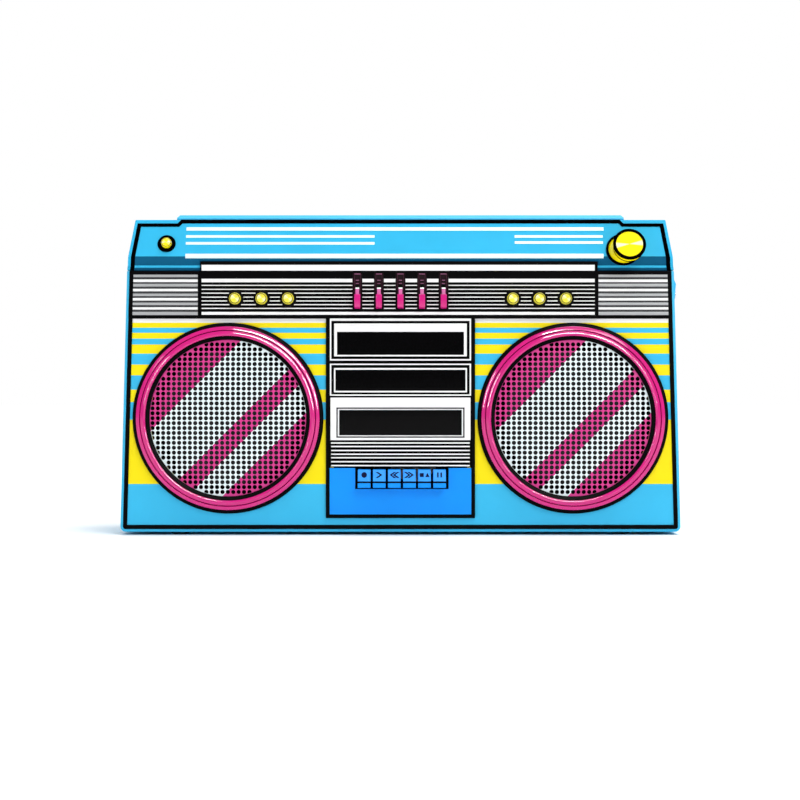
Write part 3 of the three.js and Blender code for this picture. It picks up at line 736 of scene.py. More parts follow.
knob_profile = [(0, -FACE_OUT), (14.9, -FACE_OUT), (15.2, -18.6), (15.5, -18.6), (16, -18.5)]
knob_profile += [(16, y) for y in (-18.1, -17.5, -17.4, -14.0, -10.4, -10.2)]
knob_profile += [(15.7, -9.7), (3, -9.7), (3, 16), (0, 16)]
knob_body = bent(lathe(knob_profile, segments=240), knurled)
piece("tuning_knob_body", moved(knob_body, knob_place), knob_glints, "tuning_knob", ["tuning_knob"])
knob_rim = ring_shape(14.4, 17.6, -17.2, -19.35, edge=0.25, segments=96)
piece("tuning_knob_rim", moved(knob_rim, knob_place), matte_black, "tuning_knob")

power_place = on_slope(-252.4, 314.2)
power_face = power_place @ Vector((0, -5, 0))
# The power button's face carries painted highlights in the same pale wedges.
power_glints = surface(
    "power_button_painted_glints", "yellow", YELLOW, 0.25, coat=0.3, grain=0.03,
    paint=painted_glints([(power_face.x, power_face.z, 5.6)]),
)
power_profile = [
    (0, -5.2), (3.2, -5.1), (4.2, -4.8), (4.5, -4.5), (4.5, -4.0), (5.0, -4.0), (5.0, -4.5),
    (5.2, -4.7), (5.4, -4.5), (5.6, -4.0), (5.6, 5.5), (8.5, 5.5), (8.5, 8.5), (0, 8.5),
]
power_cap = moved(lathe(power_profile), power_place)
piece("power_button_cap", power_cap, power_glints, "power_button", ["power_button"])
power_groove = moved(ring_shape(4.4, 5.1, -3.6, -4.35, edge=0.1), power_place)
piece("power_button_groove", power_groove, black, "power_button")
power_surround = moved(ring_shape(5.8, 9.8, 0.6, -1.1, edge=0.4), power_place)
piece("power_surround", power_surround, matte_black)

# ------------------------------------------------------------------ speakers

PITCH_X, PITCH_Z, HOLE_RADIUS = 5.8, 5.3, 2.35
MOST_HOLES = 17  # from the middle of a grille to its edge, or more
# The cells and holes that reach past these radii are cut off there, under the ring's lip.
RIM_INSIDE, HOLE_INSIDE = 84.45, 84.1


def dome_y(r):
    """Where the front of a domed grille lies, at a radius."""
    return -70.0 + 5.0 * min(r / GRILLE_RADIUS, 1.0) ** 2.4


def perforated(cx, cz):
    """A shallow domed disc with a square pattern of round holes through it."""
    sixths = quartered([(3, 3), (1, 3), (-1, 3)])
    flat, index, faces, uses, holes = [], {}, [], {}, []

    def vertex(key, x, z, most=GRILLE_RADIUS):
        if key not in index:
            index[key] = len(flat)
            share = min(1.0, most / max(math.hypot(x, z), 0.001))
            flat.append((x * share, z * share))
        return index[key]

    steps = range(-MOST_HOLES, MOST_HOLES + 1)
    for i in steps:
        for j in steps:
            x, z = i * PITCH_X, j * PITCH_Z
            if math.hypot(x, z) > HOLE_INSIDE:
                continue
            cell = []
            for a, b in sixths:
                key = (6 * i + a, 6 * j + b)
                cell.append(vertex(key, key[0] * PITCH_X / 6, key[1] * PITCH_Z / 6, RIM_INSIDE))
            hole = []
            for k in range(12):
                turn = math.radians(45 + 30 * k)
                point = (x + HOLE_RADIUS * math.cos(turn), z + HOLE_RADIUS * math.sin(turn))
                hole.append(vertex(("hole", i, j, k), *point, HOLE_INSIDE))
            holes.append(hole)
            for k in range(12):
                m = (k + 1) % 12
                faces.append([cell[k], cell[m], hole[m], hole[k]])
                edge = (cell[k], cell[m])
                uses[frozenset(edge)] = None if frozenset(edge) in uses else edge
    rim = []
    for edge in [e for e in uses.values() if e]:
        out = []
        for v in edge:
            x, z = flat[v]
            r = math.hypot(x, z)
            out.append(vertex(("rim", v), x * GRILLE_RADIUS / r, z * GRILLE_RADIUS / r))
        faces.append([edge[1], edge[0], out[0], out[1]])
        rim.append(out)
    n = len(flat)
    front = [(cx + x, dome_y(math.hypot(x, z)), cz + z) for x, z in flat]
    back = [(x, y + 0.9, z) for x, y, z in front]
    made = faces + [[v + n for v in face[::-1]] for face in faces]
    walls = [(loop[k - 1], loop[k]) for loop in holes for k in range(12)] + rim
    return front + back, made + [[a, b, b + n, a + n] for a, b in walls]


# Profiles of a speaker ring's parts, as (radius, y).
OUTER_BEAD = [
    (94.8, -68.8), (95.0, -69.6), (95.4, -69.95), (96.9, -69.31), (98.3, -68.61), (98.8, -68.2),
    (99.0, -67.0), (99.0, SEAT_Y), (94.8, SEAT_Y),
]
INNER_BEAD = [
    (88.6, -69.4), (88.7, -70.1), (89.0, -70.5), (89.8, -70.9), (90.3, -71.1), (90.8, -71.05),
    (92.2, -70.45), (93.6, -69.75), (94.1, -69.3), (94.3, -68.4), (94.3, SEAT_Y), (88.6, SEAT_Y),
]
GASKET = [
    (98.9, SEAT_Y), (98.9, -66.2), (99.8, -66.6), (101.2, -66.2), (102.4, -65.0), (103.0, -63.4),
    (103.0, SEAT_Y),
]
RECESS = [
    (84.4, SEAT_Y), (84.4, -66.2), (84.9, -66.6), (87.8, -68.0), (88.7, -68.2), (88.7, SEAT_Y),
]
GROOVE = [(94.2, SEAT_Y), (94.2, -67.6), (94.9, -67.6), (94.9, SEAT_Y)]
# The cone's profile: dust cap, rippled paper, roll surround, and back to the voice coil.
CONE = [
    (0, -41.0), (6.0, -42.0), (12.0, -41.0), (17.6, -38.4), (18.4, -36.6), (19.6, -37.2),
    *[(20.5 + 43.5 * k / 8, -37.6 - 16.9 * k / 8 + 0.25 * (k % 2)) for k in range(9)],
    (65.0, -55.4), (67.2, -57.4), (69.6, -57.9), (72.0, -57.3), (73.4, -56.2), (74.0, -56.0),
    (74.0, -55.2), (69.8, -56.8), (65.4, -54.2), (20.6, -36.4), (17.9, -34.0), (17.9, -18.5),
    (0, -18.5),
]


def speaker_rings(profiles, x):
    return [lathe(profile, x, SPEAKER_Z, 144, closed=True) for profile in profiles]


for side, label in SIDES:
    x = side * SPEAKER_X
    beads = speaker_rings([OUTER_BEAD, INNER_BEAD], x)
    piece(f"{label}_ring_beads", beads, magenta, replaces=[f"{label}_speaker_ring"])
    piece(f"{label}_ring_gasket", speaker_rings([GASKET, RECESS, GROOVE], x), black)
    mesh = perforated(x, SPEAKER_Z)
    piece(f"{label}_grille_mesh", mesh, grille_look, replaces=[f"{label}_speaker_grille"])
    carry(f"{label}_woofer_basket", black)
    name = f"{label}_woofer_cone"
    piece(f"{label}_cone_paper", lathe(CONE, x, SPEAKER_Z, 96), paper, name, [name])

# ------------------------------------------------------------------ control strip

PANEL_Y, PANEL_BACK = -66.0, -63.4
RIB_BACK = PANEL_Y + 0.1  # what stands on the panel starts a little inside it
SLOT_LOW, SLOT_HIGH, SLOT_HALF = 243.0, 282.7, 5.2
KNOB_ROW_Z, KNOB_HOLE = 254.7, 7.2
slot_xs = [(i - 2) * 23.2 for i in range(5)]
knobs = ["volume_knob", "balance_knob", "tone_knob"]
round_controls = knobs + ["tape_button", "radio_button", "line_in_button"]
control_xs = [middle(name)[0] for name in round_controls]

low, high = (half_width(z) - BEAD[0] for z in (233.4, 284.9))
backing_outline = [(-low, 233.4), (low, 233.4), (high, 284.9), (-high, 284.9)]
control_holes = [circle(x, KNOB_ROW_Z, KNOB_HOLE, 48) for x in control_xs]
slits = [rectangle(x - 1.8, x + 1.8, 246.0, 270.0) for x in slot_xs]
piece("strip_backing", plate(backing_outline, control_holes + slits, -63.5, SEAT_Y, 0.3), black)

slots = [(x - SLOT_HALF, x + SLOT_HALF) for x in slot_xs]
panel_holes = [rectangle(*slot, SLOT_LOW, SLOT_HIGH) for slot in slots] + control_holes
panel_face = plate(rectangle(-215.5, 212.4, 234, 294.6), panel_holes, PANEL_Y, PANEL_BACK, 0.3)
piece("control_panel_face", panel_face, black, replaces=["control_panel"])

slot_gaps = [(low - 0.2, high + 0.2) for low, high in slots]


def rib_gaps(z, clear=9.0):
    """The gaps that the slots and the round controls leave in a rib at a height."""
    off = abs(z - KNOB_ROW_Z)
    half = math.sqrt(clear**2 - off**2) if off < clear else 0.0
    return slot_gaps + [(x - half, x + half) for x in control_xs if half]


strip_bands = [(284.9, 291.2, []), (272.4, 276.2, slot_gaps), (237.4, 240.5, [])]
for z in (269.1, 264.8, 260.7, 256.4, 252.3, 248.3, 244.3):
    strip_bands.append((z - 0.52, z + 0.52, rib_gaps(z)))
ribs = []
for z0, z1, gaps in strip_bands:
    ribs += [raised(*x, z0, z1, RIB_BACK, -66.6, 0.25) for x in spans(-214.2, 209.2, gaps)]
piece("control_panel_ribs", ribs, white)
surround = (KNOB_HOLE, 8.9, RIB_BACK, -66.9)
surrounds = [ring_shape(*surround, x, KNOB_ROW_Z, 0.3, 48) for x in control_xs]
piece("control_surrounds", surrounds, gloss_black)

slot_red = surface("slot_floor", "magenta", srgb(24, 0, 11), 0.5, specular=0.1, cloud=0.1)
slot_pink = surface("slot_marks", "magenta", srgb(158, 92, 130), 0.4, cloud=0.06)
slot_line = surface("slot_lines", "magenta", srgb(74, 26, 50), 0.5, specular=0.1, cloud=0.06)
# Paler pink: painted light on each slider cap's sloping top.
nose_painted_light = surface("slider_nose_painted_light", "magenta", srgb(196, 66, 146), 0.3, cloud=0.06)
floors, marks, borders = [], [], []
for x, slit, (low, high) in zip(slot_xs, slits, slots):
    floor = rectangle(low + 0.05, high - 0.05, SLOT_LOW + 0.05, SLOT_HIGH - 0.05)
    floors.append(plate(floor, [slit], -64.4, -63.5, 0.1))
    outer = rectangle(x - 3.5, x + 3.5, 245.2, 282.0)
    inner = rectangle(x - 3.1, x + 3.1, 245.6, 281.2)
    borders.append(plate(outer, [inner], -64.65, -64.3, 0.1))
    marks.append(raised(x - 3.3, x + 3.3, 281.1, 281.9, -64.3, -64.8, 0.1))
    marks.append(raised(x - 1.7, x + 1.7, 274.4, 275.1, -64.3, -64.8, 0.1))
    marks.append(raised(x - 1.7, x + 1.7, 271.0, 271.5, -64.3, -64.7, 0.1))
piece("slot_floors", floors, slot_red)
piece("slot_marks", marks, slot_pink)
piece("slot_borders", borders, slot_line)

# A slider's parts seen from the side, as (y, z).
SLIDER_CAP = [
    (-66.7, 243.8), (-73.4, 245.2), (-74.3, 247.6), (-74.0, 250.2), (-74.5, 252.6),
    (-74.1, 255.4), (-73.6, 259.2), (-66.7, 259.2),
]
SLIDER_NOSE = [(-66.7, 258.9), (-72.4, 258.9), (-70.5, 265.2), (-66.7, 265.2)]
# The white tip is a painted highlight along the top of the nose.
SLIDER_HIGHLIGHT_TIP = [(-66.7, 265.1), (-70.7, 265.1), (-70.1, 266.6), (-66.7, 266.6)]
for band in ("low_bass", "bass", "middle", "treble", "high_treble"):
    name = f"{band}_slider"
    x = middle(name)[0]
    stem = block(x - 1.5, x + 1.5, -67.4, -43.0, 247.7, 253.7)
    piece(f"{name}_cap", bar(SLIDER_CAP, x - 3.25, x + 3.25), magenta, name, [name], bevel=0.5)
    piece(f"{name}_stem", stem, black, name, bevel=0.25, segments=2)
    nose, tip = bar(SLIDER_NOSE, x - 2.0, x + 2.0), bar(SLIDER_HIGHLIGHT_TIP, x - 2.1, x + 2.1)
    # The nose is a paler pink, painted light on the cap's slope, and the white tip is a painted
    # highlight.
    piece(f"{name}_nose", nose, nose_painted_light, name, bevel=0.3, segments=2)
    piece(f"{name}_tip", tip, white, name, bevel=0.3, segments=2)

control_centres = [(x + 0.5, KNOB_ROW_Z + 0.3, 5.1) for x in control_xs]
# The round controls' faces carry painted highlights in pale wedges, over a paler yellow.
control_glints = surface(
    "controls_painted_glints", "yellow", YELLOW, 0.25, coat=0.3, grain=0.03,
    paint=painted_glints(control_centres, 0.8, 0.0, srgb(250, 238, 70)),
)
for name, x in zip(round_controls, control_xs):
    end = -43.0 if name in knobs else -46.0
    profile = [
        (0, -73.75), (4.7, -73.7), (4.9, -73.4), (5.4, -73.4), (5.4, -73.8), (5.6, -74.0),
        (5.95, -73.7), (6.05, -70.0), (6.1, -67.3), (6.6, -67.0), (6.8, -66.6), (6.8, -64.8),
        (6.5, -64.5), (2.5, -64.5), (2.5, end), (0, end),
    ]
    piece(f"{name}_cap", lathe(profile, x, KNOB_ROW_Z), control_glints, name, [name])
    face_line = ring_shape(4.8, 5.5, -73.2, -73.95, x, KNOB_ROW_Z, 0.1)
    collar = ring_shape(6.12, 6.85, -64.7, -67.25, x, KNOB_ROW_Z, 0.15)
    piece(f"{name}_line", [face_line, collar], gloss_black, name)
    if name in knobs:
        grip = block(-0.18, 0.18, -73.2, -67.6, 5.8, 6.25)
        piece(f"{name}_grips", around(grip, 20, x, KNOB_ROW_Z), yellow, name)

# End trims: alternate silver and white bars on a dark base, painted shade for the gaps between the
# bars.
grey_bars = [(278.1, 280.7), (267.9, 270.9), (257.6, 260.3), (247.9, 250.6), (237.2, 240.6)]
white_bars = [(272.7, 275.6), (262.8, 265.5), (252.8, 255.6), (243.1, 245.6)]
# The dark grey base is painted shade, seen in the gaps between the bars.
trim_gap_shade = surface("trim_painted_shade", "silver", srgb(58, 59, 61), 0.45, metallic=0.2, cloud=0.08)
for side, label, start in ((-1, "left", 217.6), (1, "right", 212.5)):
    low, high = half_width(235.7) - 4.4, half_width(284.5) - 4.4
    outline = [(start, 235.7), (low, 235.7), (high, 284.5), (start, 284.5)]
    shade_area = [(start + 0.9, 236.9), (half_width(236.9) - 7.9, 236.9)]
    shade_area += [(half_width(280.9) - 7.9, 280.9), (start + 0.9, 280.9)]
    base = plate([(side * x, z) for x, z in outline], [], -64.2, -63.4, 0.25)
    piece(f"{label}_trim_border", base, black, replaces=[f"{label}_end_trim"])
    base = plate([(side * x, z) for x, z in shade_area], [], -64.45, -64.0, 0.12)
    piece(f"{label}_trim_painted_shade", base, trim_gap_shade)
    for kind, look, bars in (("grey", grey, grey_bars), ("white", white, white_bars)):
        made = []
        for z0, z1 in bars:
            ends = sorted((side * (start + 1.0), side * (half_width((z0 + z1) / 2) - 8.0)))
            made.append(raised(*ends, z0, z1, -64.3, -65.2, 0.35))
        piece(f"{label}_trim_{kind}", made, look)

# ------------------------------------------------------------------ column of windows

frame_outer = centred(80.5, 18.2, 234.9, 1.0)
frame_inner = centred(76.5, 22.1, 233.6, 0.5)
piece("column_frame", plate(frame_outer, [frame_inner], -64.2, SEAT_Y, 0.3), black)
tuner_glass = centred(68.5, 194.3, 219.2)
meter_glass = centred(70.6, 155.3, 178.1)
fascia = plate(centred(76.5, 149.3, 233.5), [tuner_glass, meter_glass], -64.2, -62.0, 0.25)
piece("window_fascia_face", fascia, black, replaces=["window_fascia"])
# (half width, low, high) of each white frame's outline, and of its opening
white_frames = [
    ((76.1, 188.1, 233.5), (74.5, 189.7, 230.9)), ((71.5, 192.6, 228.1), (68.4, 194.2, 219.1)),
    ((76.1, 150.2, 184.8), (74.5, 151.6, 183.4)), ((71.7, 153.8, 180.1), (70.1, 155.5, 178.2)),
]
frames = [plate(centred(*o, 0.4), [centred(*i)], -65.6, -64.0, 0.3) for o, i in white_frames]
piece("window_frames", frames, white)
panes = {"tuner": (68.3, 194.4, 219.0), "meter": (70.4, 155.6, 178.0)}
for kind, edges in panes.items():
    pane = plate(centred(*edges), [], -64.9, -63.0, 0.3)
    piece(f"{kind}_window_pane", pane, smoked, replaces=[f"{kind}_window"])
jambs = [block(*x, -63.6, SEAT_Y, 72.4, 149.4) for x in ((-76.9, -75.6), (75.6, 76.9))]
lintel = block(-76.0, 76.0, -62.45, SEAT_Y, 147.6, 149.5)
piece("door_jambs", [*jambs, lintel], black, bevel=0.2, segments=2)
carry("tuner_dial", dial_card)
carry("level_meter", dial_card)
carry("dial_pointer", surface("needle", "magenta", srgb(250, 60, 150), 0.4))
scale_marks = [block(-62, 62, -57.15, -56.9, 204.2, 204.8)]
for k in range(41):
    tall = 2.6 if k % 5 else 5.0
    x = -60 + 3 * k
    for z0, z1 in ((205.5, 205.5 + tall), (203.5 - tall, 203.5)):
        scale_marks.append(block(x - 0.2, x + 0.2, -57.15, -56.9, z0, z1))
piece("tuner_scale", scale_marks, white)
meter_xs = [side * (8 + 4.6 * k) for side in (-1, 1) for k in range(12)]
meter_bars = [raised(x - 1.7, x + 1.7, 163.0, 170.0, -59.9, -60.4, 0.2) for x in meter_xs]
piece("meter_bars", meter_bars, key_blue)

# ------------------------------------------------------------------ tape door and deck

DOOR = "cassette_door"
door_hole = centred(66.1, 107.5, 134.9)
door_face = plate(centred(75.5, 102.3, 148.2, 0.6), [door_hole], -66.0, -62.6, 0.35)
piece("door_face", door_face, white, DOOR, [DOOR])
line_inner = centred(67.6, 106.4, 136.1)
door_line = plate(centred(69.0, 105.0, 137.5), [line_inner], -66.15, -65.8, 0.08)
piece("door_line", door_line, black, DOOR)
grip_side = [(-64.7, 73.4), (-65.3, 74.2), (-65.3, 102.2), (-62.2, 102.2), (-62.2, 77.0)]
piece("door_grip", bar(grip_side, -75.5, 75.5), black, DOOR, bevel=0.3, segments=2)
rib_zs = (99.3, 95.5, 91.2, 87.2, 83.4, 79.1, 74.9)
door_ribs = [raised(-74.7, 74.7, z - 0.72, z + 0.72, -65.2, -66.0, 0.3) for z in rib_zs]
piece("door_ribs", door_ribs, white, DOOR)
rail_side = [(-62.4, 78.5), (-50.2, 80), (-50.2, 138), (-62.4, 144)]
rails = [bar(rail_side, x, x + 3) for x in (-56, 53)]
piece("door_rails", rails, black, DOOR, bevel=0.4, segments=2)
door_pane = plate(centred(66.0, 107.6, 134.8), [], -65.3, -63.2, 0.35)
piece("door_pane", door_pane, smoked, DOOR, ["cassette_window"])

carry("deck_chassis", black, 0.4)
carry("capstan_flywheel", steel)
carry("control_board", board)
deck_steel = surface(
    "deck_plate", "steel", srgb(120, 122, 126), 0.32, metallic=0.8, stretch=(0.05, 1, 1)
)
spindle_holes = [circle(x, 112.5, 9, 40) for x in (-21.25, 21.25)]
deck_plate = plate(centred(60, 90, 136, 2), spindle_holes, -43.4, -41.9, 0.2)
piece("deck_plate", deck_plate, deck_steel)
piece("tape_head", plate(centred(7, 77.5, 89, 1.5), [], -52.0, -42.0, 0.8), chrome)
roller = [(0, -52), (3.4, -52), (4, -51.5), (4, -44.5), (3.4, -44), (0, -44)]
piece("pinch_roller", lathe(roller, 22.5, 84, 32), rubber)
pin = [(0, -54), (0.8, -54), (1.3, -53.4), (1.3, -42), (0, -42)]
piece("guide_pins", [lathe(pin, x, 82, 20) for x in (-42, 42)], chrome)
for name in ("supply_spindle", "take_up_spindle"):
    x, _, z = middle(name)
    carry(name, white)
    teeth = around(block(-0.7, 0.7, -50.5, -43.5, 3.9, 5.6), 3, x, z)
    piece(f"{name}_teeth", teeth, white, name, bevel=0.2, segments=2)

# ------------------------------------------------------------------ key panel

WELL_LEFT, WELL_RIGHT, WELL_LOW = -48.6, 51.7, 49.9  # the opening that the keys stand in


def well_path(out, under, top=72.6):
    """The well's outline from its top right, round the bottom, drawn outwards and down."""
    left, right, low = WELL_LEFT - out, WELL_RIGHT + out, WELL_LOW - under
    return [(right, top), (right, low), (left, low), (left, top)]


panel_outline = [(-76.4, 22.2), (76.4, 22.2), (76.4, 72.3), *well_path(0, 0, 72.3), (-76.4, 72.3)]
panel = plate(panel_outline, [], -65.0, -62.0, 0.5)
piece("key_panel_face", panel, key_blue, replaces=["key_panel"])
well_outline = well_path(0.1, 0.1)[::-1] + well_path(-1.1, -1.2)
piece("key_well_frame", plate(well_outline, [], -65.6, -60.0, 0.3), black)

KEY_SLOPE = math.atan2(10.0, 12.4)


def on_key(x):
    """Puts a flat symbol drawn in X and Z on the sloping face of the key at x."""
    return Matrix.Translation((x, -71.0, 65.0)) @ Matrix.Rotation(-KEY_SLOPE, 4, "X")


def chevron(x, way=1, half=2.3, tall=3.9):
    """A chevron about x, pointing right or left."""
    outer = [(x - way * half, tall), (x + way * half, 0), (x - way * half, -tall)]
    return outer + [(px - way * half, pz) for px, pz in outer[::-1]]


# Outlines of the marks on each key.
symbols = {
    "record": [[(2.9 * x, 3.7 * z) for x, z in circle(0, 0, 1, 40)]],
    "play": [chevron(0.8)],
    "rewind": [chevron(-2.7, -1), chevron(0.9, -1)],
    "fast_forward": [chevron(-1.2), chevron(2.4)],
    "stop_eject": [rectangle(-5.0, -0.9, -2.6, 2.4), [(1.0, -2.6), (5.4, -2.6), (3.2, 2.6)]],
    "pause": [rectangle(-2.6, -1.0, -3.2, 3.2), rectangle(1.0, 2.6, -3.2, 3.2)],
}
KEY_SIDE = [
    (-40.0, 70.4), (-65.6, 70.9), (-67.0, 70.2), (-75.6, 59.2), (-76.0, 58.2), (-76.0, 52.6),
    (-75.4, 51.8), (-73.2, 51.2), (-66.0, 57.1), (-40.0, 57.1),
]
for kind, marks in symbols.items():
    name = f"{kind}_key"
    x = middle(name)[0]
    piece(f"{name}_cap", bar(KEY_SIDE, x - 6.85, x + 6.85), key_blue, name, [name], bevel=0.45)
    line = raised(x - 6.9, x + 6.9, 56.5, 58.3, -75.6, -76.2, 0.15)
    piece(f"{name}_line", line, black, name)
    raised_marks = joined(*[slab(mark, -0.22, 0.3) for mark in marks])
    piece(f"{name}_symbol", moved(raised_marks, on_key(x)), ink, name)

# ------------------------------------------------------------------ case: rear half


BACK_ROUND, TOP_CORNER = 6.0, 4.0


def o_path(inset):
    """The rear half's whole outline, drawn in by inset."""
    zs = (FOOT_Z + inset, SHOULDER_Z, DECK_Z - inset)
    right = [(half_width(z) - inset, z) for z in zs]
    corners = [(-x, z) for x, z in right[::-1]] + right
    radii = [max(r - inset, LEAST_CORNER) if r else 0 for r in (CORNER, 0, TOP_CORNER)]
    return fillet(corners, radii[::-1] + radii, steps=6)


rim = [(2.6, SPLIT_Y + 0.1), (0.6, SPLIT_Y + 0.1), (0.0, SPLIT_Y + 0.7)]
rim += [(inset, BACK_Y - rise) for inset, rise in quarter(BACK_ROUND)[::-1]]
rim += [(8.4, BACK_Y), (8.8, BACK_Y - 0.4), (8.8, BACK_Y - 2.4), (12.0, BACK_Y - 2.4)]
rim += [(12.0, BACK_Y - 4.6), (2.6, BACK_Y - 6.0)]
rear_rim = loft([ring_at(o_path(inset), y) for inset, y in rim + rim[:1]])
piece("rear_rim", rear_rim, case_blue, replaces=["rear_shell"])

cover_seat = centred(131.6, 16.4, 99.6, 1.2)
inlet_hole = rectangle(221.6, 248.4, 29.6, 48.4, 1.5)
vent_xs = [side * (70 + 18 * k) for side in (-1, 1) for k in range(9)]
vent_slots = [rectangle(x - 3.0, x + 3.0, 232, 292, 2.9) for x in vent_xs]
screw_places = ((276, 24), (268, 300), (150, 118), (20, 300))
screw_places = [(side * x, z) for side in (-1, 1) for x, z in screw_places]
SCREW_WELL = 5.2  # radius
screw_holes = [circle(x, z, SCREW_WELL, 40) for x, z in screw_places]
back_holes = [cover_seat, inlet_hole, *vent_slots, *screw_holes]
back_panel = plate(o_path(9.2), back_holes, BACK_Y - 3.0, BACK_Y - 0.1, 0.5)
piece("back_panel", back_panel, case_blue)
backing = plate(centred(250, 226, 312, 2), [], BACK_Y - 9.0, BACK_Y - 7.0, 0.3)
piece("vent_backing", backing, black)
slot_walls = [loft([ring_at(loop, BACK_Y - in_) for in_ in (2.6, 7.5)]) for loop in vent_slots]
piece("vent_walls", slot_walls, black)
well = [(SCREW_WELL, BACK_Y - 0.6), (SCREW_WELL, BACK_Y - 4.4), (0, BACK_Y - 4.4)]
piece("screw_wells", [lathe(well, x, z, 40) for x, z in screw_places], black)
cross = quartered([(-2.2, -0.45), (-0.45, -0.45), (-0.45, -2.2)])
heads = []
for x, z in screw_places:
    slots = [(x + a, z + b) for a, b in cross]
    heads.append(plate(circle(x, z, 3.6, 40), [slots], BACK_Y - 4.3, BACK_Y - 2.4, 0.4))
piece("screw_heads", heads, steel)

# Three raised lines across the back echo the front's trim.
back_lines = []
for z in (206.0, 213.0, 220.0):
    half = [(z - 1.2, BACK_Y - 0.4), (z - 1.2, BACK_Y - 0.05), (z - 0.9, BACK_Y + 0.25)]
    back_lines.append(bar([(y, z) for z, y in mirrored(half, z)], -262, 262))
piece("back_lines", back_lines, white)

# Battery bay: a black tray with brass springs and contacts, behind the cover.
bay_rings = [ring_at(centred(128.6, 19.4, 96.6), 85.6)]
bay_rings += [ring_at(centred(128, 20, 96), y) for y in (85.2, 46.2)]
bay_points, bay_faces = loft(bay_rings)
bay_faces.append([len(bay_points) - 1 - i for i in range(len(bay_rings[0]))])
divider = block(-126, 126, 46.4, 74.0, 57.2, 58.8)
piece("battery_bay", [(bay_points, bay_faces), divider], black)


def coil(x, y, z, radius=6.5, length=9.0, turns=4.5, wire=0.55, steps=81):
    """A conical contact spring about the X axis."""
    rings = []
    ahead = Vector((1, 0, 0))
    for k in range(steps + 1):
        share = k / steps
        turn = 2 * math.pi * turns * share
        out = Vector((0, math.cos(turn), math.sin(turn)))
        centre = Vector((x + length * share, y, z)) + out * radius * (1 - 0.5 * share)
        section = [(math.cos(a), math.sin(a)) for a in (0, 1.26, 2.51, 3.77, 5.03)]
        rings.append([centre + (out * c + ahead * s) * wire for c, s in section])
    return loft(rings, ends=True)


BATTERY_ZS = (38.5, 77.5)
piece("battery_springs", [coil(-127.0, 64.0, z) for z in BATTERY_ZS], steel)
contacts = []
for z in BATTERY_ZS:
    contacts.append(block(-127.9, -127.2, 54, 74, z - 10, z + 10))
    contacts.append(block(127.2, 127.9, 54, 74, z - 10, z + 10))
    contacts.append(block(126.4, 127.3, 60, 68, z - 4, z + 4))
piece("battery_contacts", contacts, brass)

latch_hole = centred(16, 88.5, 95.5, 2.5)
cover = [plate(centred(131.0, 17.0, 99.0, 1.0), [latch_hole], 85.5, 87.3, 0.4)]
cover.append(plate(centred(15.6, 88.9, 95.1, 2.2), [], 85.6, 86.6, 0.3))
for z in range(27, 82, 9):
    half = [(z - 1.3, 87.0), (z - 1.3, 87.6), (z - 0.9, 87.9)]
    cover.append(bar([(y, z) for z, y in mirrored(half, z)], -120, 120))
cover += [block(-12, 12, 86.4, 87.2, 90.0 + 1.6 * k, 90.6 + 1.6 * k) for k in range(3)]
piece("battery_cover_face", cover, case_blue, "battery_cover", ["battery_cover"])

carry("mains_inlet", black, 0.5)
x = middle("mains_inlet")[0]
pin = [(0, 86), (0.9, 85.6), (1.2, 85), (1.2, 76), (0, 76)]
piece("inlet_pins", [lathe(pin, x + out, 39, 20) for out in (-3.6, 3.6)], chrome)
inlet_opening = rectangle(226.4, 243.6, 34.4, 43.6, 3)
inlet_edge = plate(rectangle(222.2, 247.8, 30.2, 47.8, 1.2), [inlet_opening], 87.2, 88.2, 0.3)
piece("inlet_edge", inlet_edge, black)
carry("transformer", steel, 0.4)

# ------------------------------------------------------------------ handle, feet and sockets

carry("handle", case_blue, 1.3)
pad_xs = [-112.5 + 5 * k for k in range(46)]
pads = [block(x - 1.4, x + 1.4, -25.9, -25.0, 331.5, 342.5) for x in pad_xs]
piece("handle_grip_ribs", pads, rubber, "handle", bevel=0.3, segments=2)
HINGE_Y, HINGE_Z = 10.0, 337.0
arch = [math.pi * k / 24 for k in range(25)]
ear = [(HINGE_Y - 10 * math.cos(a), HINGE_Z + 10 * math.sin(a)) for a in arch]
ear = [(0.3, DECK_Z - 0.2), *ear, (19.7, DECK_Z - 0.2)]
ears = [bar(ear, *ends) for ends in ((-253, -244), (244, 253))]
piece("handle_ears", ears, case_blue, bevel=1.0)
cap_profile = [(0, 1.0), (3.0, 0.9), (4.4, 0.6), (5.2, 0.0), (5.2, -0.6), (0, -0.6)]
cap_shape = lathe(cap_profile, segments=48)


def ear_cap(side):
    """The pivot's cap on the outer face of the ear on one side."""
    return bent(cap_shape, lambda x, y, z: (side * (253.0 + y), HINGE_Y - x, HINGE_Z + z))


piece("handle_caps", [ear_cap(side) for side in (-1, 1)], chrome)

foot = [
    (0, 1.0), (5.0, 1.0), (5.6, 0.0), (9.6, 0.0), (10.3, 0.3), (10.7, 1.0), (12.0, 2.9),
    (12.0, 3.2), (0, 3.2),
]
for name in ("front_left_foot", "front_right_foot", "rear_left_foot", "rear_right_foot"):
    x, y, _ = middle(name)
    piece(f"{name}_rubber", upright(lathe(foot), x, y), rubber, replaces=[name])

